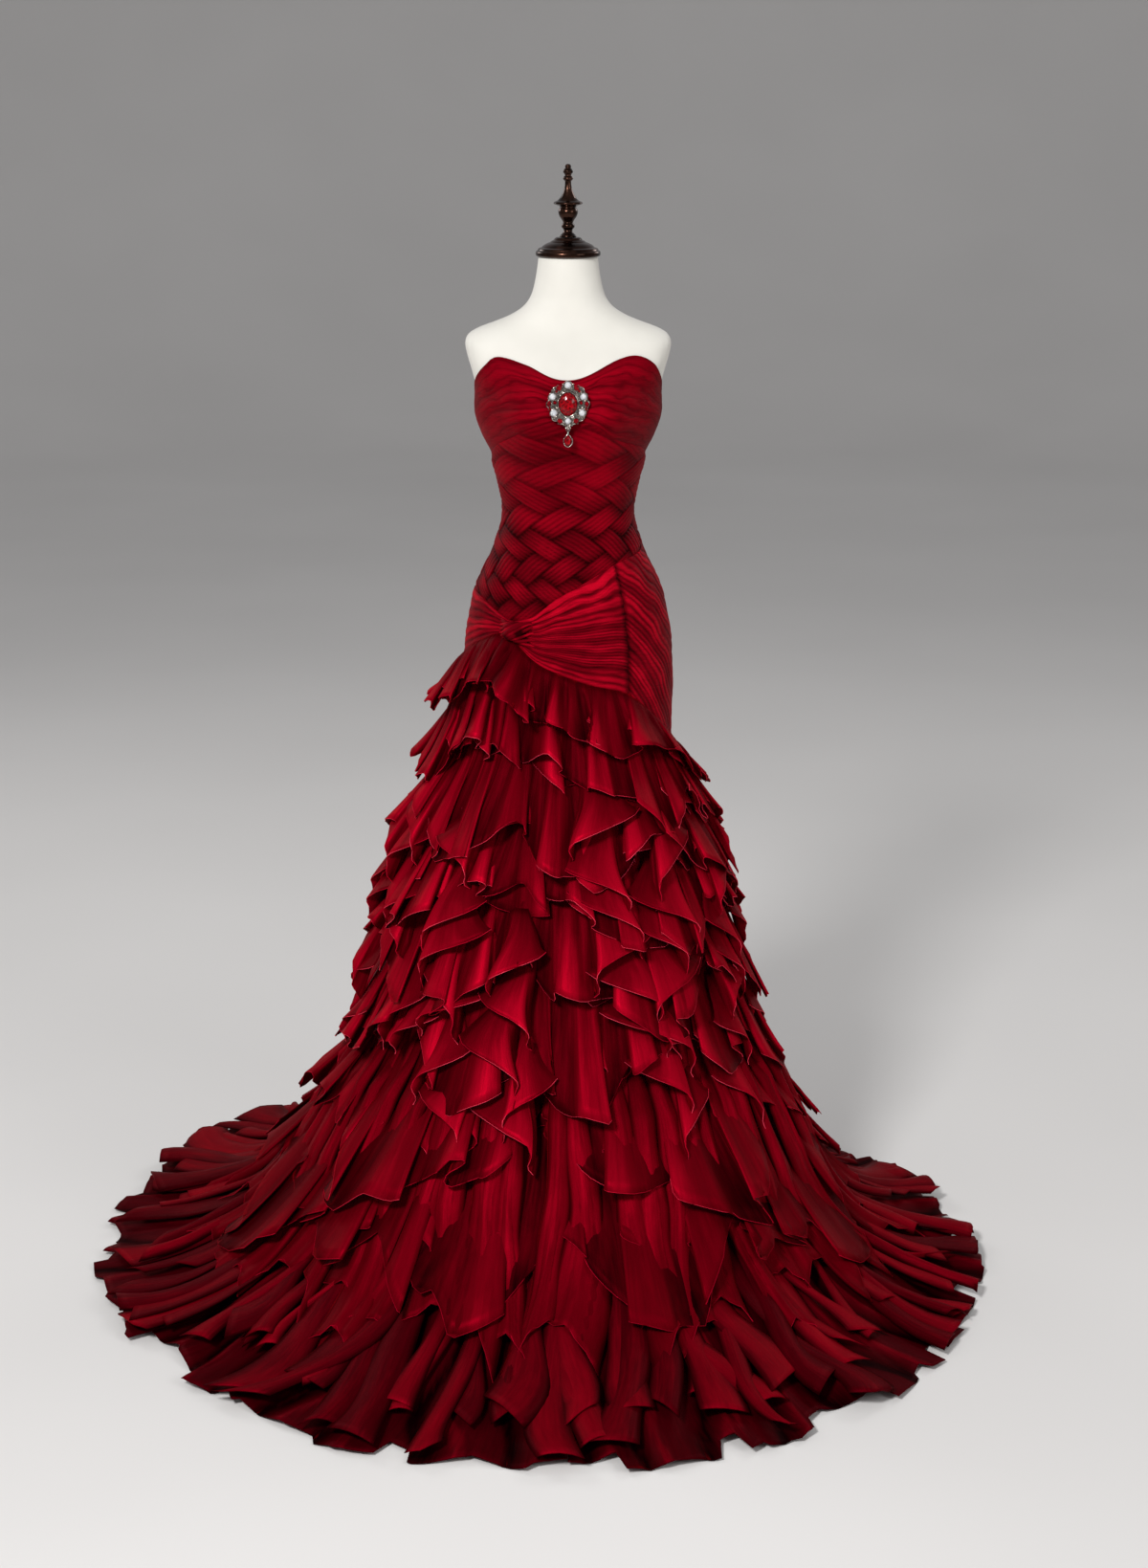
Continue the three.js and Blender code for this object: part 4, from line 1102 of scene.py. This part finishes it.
def godets(k):
    """Long narrow godets from under the sixth tier, over the lowest two and onto the train."""
    rng = np.random.default_rng(270 + k)
    u, v = shares(11, 41, -1)
    for i in range(GODETS):
        q0 = (k + (i + rng.uniform(0.15, 0.85)) / GODETS) * TRAIN_FOLDS / PANELS
        start = share_at(rng.uniform(330, 436))
        end = share_at(rng.uniform(22, 70))
        wide = rng.uniform(0.25, 0.5)
        bend = 0.35 * np.sin(v * rng.uniform(2, 5) + rng.uniform(0, TAU)) * v
        skew = rng.uniform(-0.05, 0.05)
        q = q0 + bend + u * wide * mix(0.7, 1.25, v) * (1 - 0.2 * np.sin(8 * v + i) ** 2)
        s = start + (end + skew * u + 0.02 * np.abs(u) - start) * v
        z = slope_at(s)[0]
        arch = (1 - u**2) * rng.uniform(8, 17) * ramp(v, 0, 0.2) + 4 * np.sin(2.5 * math.pi * u + 3 * v) * v
        # Painted shade at the edges, towards the top and towards the floor; a dim painted highlight along the
        # hem.
        shade = (0.9 - 0.6 * u**4) * mix(0.35, 0.7, ramp(v, 0, 0.4)) * mix(1, 0.72, ramp(v, 0.5, 1))
        painted_rim_highlight = 0.22 + 0.1 * np.sin(5 * u[:, -1] + i)
        p = train(q, s, np.interp(z, *HANG) + arch, 0.5)
        yield p, (u * 30 + 90 * i, v * 500), shade, painted_rim_highlight


for k in range(PANELS):
    loose(f"train_strips_{k + 1}", strips(k), [TRAIN_PAINTED_SHADE], [trains[k]], upward=True)
for k in range(PANELS):
    loose(f"skirt_godets_{k + 1}", godets(k), [RUFFLE, ROLLED_PAINTED_HIGHLIGHT], ruffles[-6:], upward=True)


# The cap, the finial and the stand


def lathe(name, node, profile, fine, z, sides):
    """A turned bronze piece, with fine points for each point of its profile."""
    r, h = np.array(profile, float).T
    run = np.concatenate([[0], np.cumsum(np.hypot(np.diff(r), np.diff(h)))])
    at = np.linspace(0, run[-1], fine * len(r))
    radius = np.maximum(0.3, np.interp(at, run, r))
    angle = around_once(sides)[:, None]
    height = z + np.interp(at, run, h) + 0 * angle
    b = Builder()
    b.turned(np.stack([radius * np.sin(angle), -radius * np.cos(angle), height], axis=-1))
    dress(b.make(name, [BRONZE]), "bronze", node)


# Profiles: radius and height of each point.
CAP = [
    (0.3, 0), (46, 0), (48.5, 1), (49, 3), (49, 6), (48, 8), (45.5, 9), (45.5, 11), (43, 12.5), (40, 13.2),
    (38.5, 15), (35, 17.5), (31, 19.5), (27, 21), (24.5, 23), (21.5, 24), (20.5, 26), (18, 28), (0.3, 28),
]
FINIAL = [
    (0.3, 0), (12.5, 0), (12.5, 2), (10, 4), (7.5, 7), (6.4, 10), (7.6, 12), (9.6, 14), (10, 17), (8.8, 19.5),
    (7.4, 21), (8, 23), (10, 26), (12.8, 30), (14.4, 34), (14.8, 38), (13.4, 42), (11.6, 44), (13.5, 45.5),
    (18, 47.4), (21.5, 48.6), (22, 50), (21, 51.4), (16, 53.6), (12.5, 57), (10, 61), (7.6, 66), (5.8, 71),
    (4.8, 77), (4.6, 82), (6.6, 83.6), (7.8, 86), (6.6, 88.4), (4.8, 90), (5, 92), (7, 94), (7.6, 96.5),
    (6.4, 99), (4.2, 101), (4.6, 103), (4.4, 105), (2.6, 106.6), (0.3, 107),
]
CAP_BOTTOM = FORM_TOP + 0.4
FINIAL_BOTTOM = CAP_BOTTOM + 28.4
lathe("neck_cap_turned", "neck_cap", CAP, 4, CAP_BOTTOM, 72)
lathe("finial_turned", "finial", FINIAL, 3, FINIAL_BOTTOM, 40)
for node in ("stand_pole", "stand_foot"):
    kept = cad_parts[node]
    kept.data.materials.clear()
    kept.data.materials.append(STEEL)


# The brooch

BROOCH_Z = 1395
FRONT = float(skin(0.0, BROOCH_Z, EASE + CLOTH)[1]) - 12


def at_brooch(x, y, z):
    """Points beside, behind and above the middle of the brooch's plate."""
    x, y, z = (np.asarray(c, float) for c in (x, y, z))
    return np.stack(np.broadcast_arrays(x, FRONT + y, BROOCH_Z + z), axis=-1)


def mirrored(*rows):
    """Each row on the viewer's left and on the right. Its first value is x."""
    return [(side * row[0],) + row[1:] for row in rows for side in (-1, 1)]


def loop(b, x, z, rx, rz, y, radius, count=24, tilt=0.0):
    """A wire ring that faces the front."""
    a = around_once(count)
    px, pz = rx * np.sin(a), rz * np.cos(a)
    c, s = math.cos(tilt), math.sin(tilt)
    b.tube(at_brooch(x + c * px - s * pz, y, z + s * px + c * pz), radius, closed=True)


def bead(b, x, y, z, r):
    turn = around_once(10)[:, None]
    rise = np.linspace(-math.pi / 2 + 0.12, math.pi / 2 - 0.12, 7)
    wide = r * np.cos(rise)
    b.turned(at_brooch(x + wide * np.sin(turn), y - wide * np.cos(turn), z + r * np.sin(rise)), smooth=True)


# Rings of a cut stone: size and depth as shares of the stone's, and turn as a share of a facet.
CUT = ((0.5, -1, 0.5), (0.8, -0.72, 0), (1, -0.15, 0.5), (1, 0, 0.5), (0.7, 0.25, 0))


def cut_stone(b, x, y, z, rx, rz, deep, sides=12, point=0.0, slot=0):
    """A faceted stone: table, crown, girdle and a short pavilion."""
    rings = []
    for size, depth, shift in CUT:
        turn = around_once(sides) + shift * TAU / sides
        wide = size * rx * (1 - point * np.abs(np.cos(turn)) ** 3)
        ring = at_brooch(x + wide * np.sin(turn), y + depth * deep, z + size * rz * np.cos(turn))
        rings.append(b.add(ring))
    for above, below in zip(rings, rings[1:]):
        for i in range(sides):
            after = (i + 1) % sides
            b.face((above[i], above[after], below[after]), slot)
            b.face((above[i], below[after], below[i]), slot)
    b.face(rings[0], slot, flip=True)
    b.face(rings[-1], slot)


# Clear stones: how far beside and above the middle, and their radius.
STONES = mirrored((23, 11, 5), (21, -13, 5)) + [(0, 28, 5), (0, -25, 4.5)]
# Small red stones: the same, with a radius across and a radius up.
GARNETS = mirrored((28, 0, 3, 5), (13, 24, 4.4, 4.4), (12, -25, 4, 4))
GARNETS += mirrored((19.5, 2, 2.6, 2.6), (17, 19, 2, 2), (27, -7, 2, 2))


def brooch_setting():
    """The cast plate with its rings, claws and beads, and the pin that the drop hangs on."""
    b = Builder()
    a = around_once(96)
    lobes = 0.9 + 0.1 * np.cos(8 * a)
    wires = -3.4
    for size, y, radius in ((32, -2.2, 1.1), (25.6, -3.0, 0.7), (30.4, -0.8, 0.8)):
        loop(b, 0, 0, size * lobes, size * 33 / 32 * lobes, y, radius, count=96)
    plate = [b.add(at_brooch(30 * lobes * np.sin(a), y, 31 * lobes * np.cos(a))) for y in (0, -1.4)]
    after = [np.roll(ring, -1) for ring in plate]
    b.quads(plate[0], after[0], after[1], plate[1])
    b.face(plate[0])
    b.face(plate[1], flip=True)
    marquise = 1 - 0.16 * np.abs(np.cos(a)) ** 6
    for grow, y, radius in ((1.12, -3.6, 1.3), (1.3, -2.6, 0.8)):
        loop(b, 0, 0, 13 * grow * marquise, 17 * grow, y, radius, count=96)
    for turn in around_once(12) + TAU / 24:
        x, z = 15.2 * math.sin(turn), 18.6 * math.cos(turn)
        bead(b, x, -5, z, 1.3)
        claw = at_brooch(x * np.array([1.06, 1.25, 1.62]), [-3, -5.2, -2.4], z * np.array([1.06, 1.22, 1.45]))
        b.tube(claw, 0.7, 6)
    for i, turn in enumerate(around_once(24)):
        bead(b, 29.2 * math.sin(turn), -3.2, 30.2 * math.cos(turn), 1.25 + 0.35 * (i % 2))
    for x, z, r in STONES:
        loop(b, x, z, r + 0.9, r + 0.9, wires, 0.8)
        for turn in around_once(4) + TAU / 8:
            bead(b, x + (r + 0.3) * math.sin(turn), -5.4, z + (r + 0.3) * math.cos(turn), 1.0)
    for x, z, lean in mirrored((28, 0, -0.3), (13, 24, -0.8), (12, -25, 0.6)):
        loop(b, x, z, 2.4, 4.6, wires, 0.65, tilt=math.copysign(1, x) * lean)
    for x, z in ((-6, -31), (0, -32), (6, -31), (-10, -29), (10, -29), (-3, -35), (3, -35)):
        bead(b, x, wires, z, 1.9)
    # The stem, the arm, the pin and the pin's head.
    b.tube(at_brooch(0, [-1, 11], 0), 2, 12)
    b.tube(at_brooch(0, -0.8, [-28, -33, -36]), 1.5, 8)
    b.tube(at_brooch(0, [-0.5, -6], -36), 1.1, 10)
    bead(b, 0, -6.3, -36, 2.2)
    dress(b.make("brooch_setting", [SILVER]), "silver", "brooch_frame")


def brooch_stones():
    clear = Builder()
    for x, z, r in STONES:
        cut_stone(clear, x, -3.6, z, r, r, 3.4)
    dress(clear.make("brooch_crystals", [CRYSTAL]), "silver")
    red = Builder()
    for x, z, rx, rz in GARNETS:
        cut_stone(red, x, -4.2, z, rx, rz, 2.8, sides=10)
    dress(red.make("brooch_garnets", [GARNET]), "ruby")
    centre = Builder()
    cut_stone(centre, 0, -4.4, 0, 13.6, 17.2, 6.4, sides=16, point=0.14)
    dress(centre.make("brooch_centre", [RUBY]), "ruby", "brooch_stone")


def brooch_pendant():
    """The hanging drop: a ring on the pin, a link, and a teardrop in a wire setting."""
    b = Builder()
    y = -3.5
    middle = -54.2
    loop(b, 0, -37.1, 2.9, 2.9, y, 0.75)
    b.tube(at_brooch(0, y, [-40, -42, -44.2]), np.array([1.0, 1.4, 1.0]), 8)
    bead(b, 0, y, -43, 2.0)
    pinch = 1 - 0.45 * np.clip(np.cos(around_once(24)), 0, 1) ** 1.5
    loop(b, 0, middle, 6.6 * pinch, 9.2, y - 0.6, 0.8)
    for turn in (1.2, 2.2, math.pi, -1.2, -2.2):
        bead(b, 6.6 * math.sin(turn), y - 0.8, middle + 9.2 * math.cos(turn), 1.15)
    cut_stone(b, 0, y - 0.4, -54.6, 4.9, 7.2, 3.4, point=0.1, slot=1)
    dress(b.make("brooch_pendant", [SILVER, RUBY]), "ruby", "brooch_drop", body=DROP)


brooch_setting()
brooch_stones()
brooch_pendant()


# Floor, light and camera


def floor():
    """A round pale floor that curves up into a distant backdrop."""
    finish = dict(Roughness=0.9, Specular_IOR_Level=0.1)
    pale = mottled("floor_pale", (214, 212, 210), (219, 217, 215), (0.7, 2), (0.3, 0.7), **finish)
    flat, curve = 9000, 5000
    bend = np.linspace(0.1, math.pi / 2, 14)
    r = np.append([5000, flat], flat + curve * np.sin(bend))
    h = np.append([0, 0], curve * (1 - np.cos(bend))) - 1
    angle = around_once(96)[:, None]
    b = Builder()
    ids = b.add(np.stack([r * np.cos(angle), r * np.sin(angle), h + 0 * angle], axis=-1))
    after = np.roll(ids, -1, axis=0)
    b.quads(ids[:, :-1], ids[:, 1:], after[:, 1:], after[:, :-1])
    b.face(ids[:, 0], smooth=True)
    b.make("floor", [pale])


def light(name, at, to, size, power):
    data = bpy.data.lights.new(name, "AREA")
    data.shape = "DISK"
    data.size = size
    data.energy = power
    made = bpy.data.objects.new(name, data)
    made.location = at
    aim = np.array(to, float) - np.array(at, float)
    aim /= np.linalg.norm(aim)
    made.rotation_euler = (math.acos(-aim[2]), 0, math.atan2(aim[1], aim[0]) - math.pi / 2)
    bpy.context.scene.collection.objects.link(made)


floor()
light("key", (-1.5, -3.6, 3.5), (0, 0, 0.9), 0.9, 190)
light("fill", (3.0, -2.8, 2.4), (0, 0, 0.8), 1.8, 40)
light("rim_left", (-2.6, 2.2, 2.6), (0, 0, 0.8), 1.4, 22)
light("rim_right", (2.6, 2.4, 2.8), (0, 0, 0.8), 1.4, 22)
world = bpy.data.worlds.new("studio")
world.use_nodes = True
world.node_tree.nodes["Background"].inputs["Color"].default_value = (0.9, 0.9, 0.92, 1)
world.node_tree.nodes["Background"].inputs["Strength"].default_value = 0.4
bpy.context.scene.world = world
bpy.context.scene.view_settings.view_transform = "Standard"

# The camera fitted to the photo: focal length and the photo's height in pixels, the sensor's
# height in millimetres, and how far the camera looks down in degrees.
FOCAL = 2726
PHOTO_HEIGHT = 1639
SENSOR = 36
LOOKS_DOWN = 15.34
lens = bpy.data.cameras.new("camera")
lens.sensor_width = SENSOR
lens.lens = FOCAL * SENSOR / PHOTO_HEIGHT
camera = bpy.data.objects.new("camera", lens)
camera.location = (0.0089, -4.0, 1.875)
camera.rotation_euler = ((90 - LOOKS_DOWN) * DEG, 0, 0)
bpy.context.scene.collection.objects.link(camera)
bpy.context.scene.camera = camera
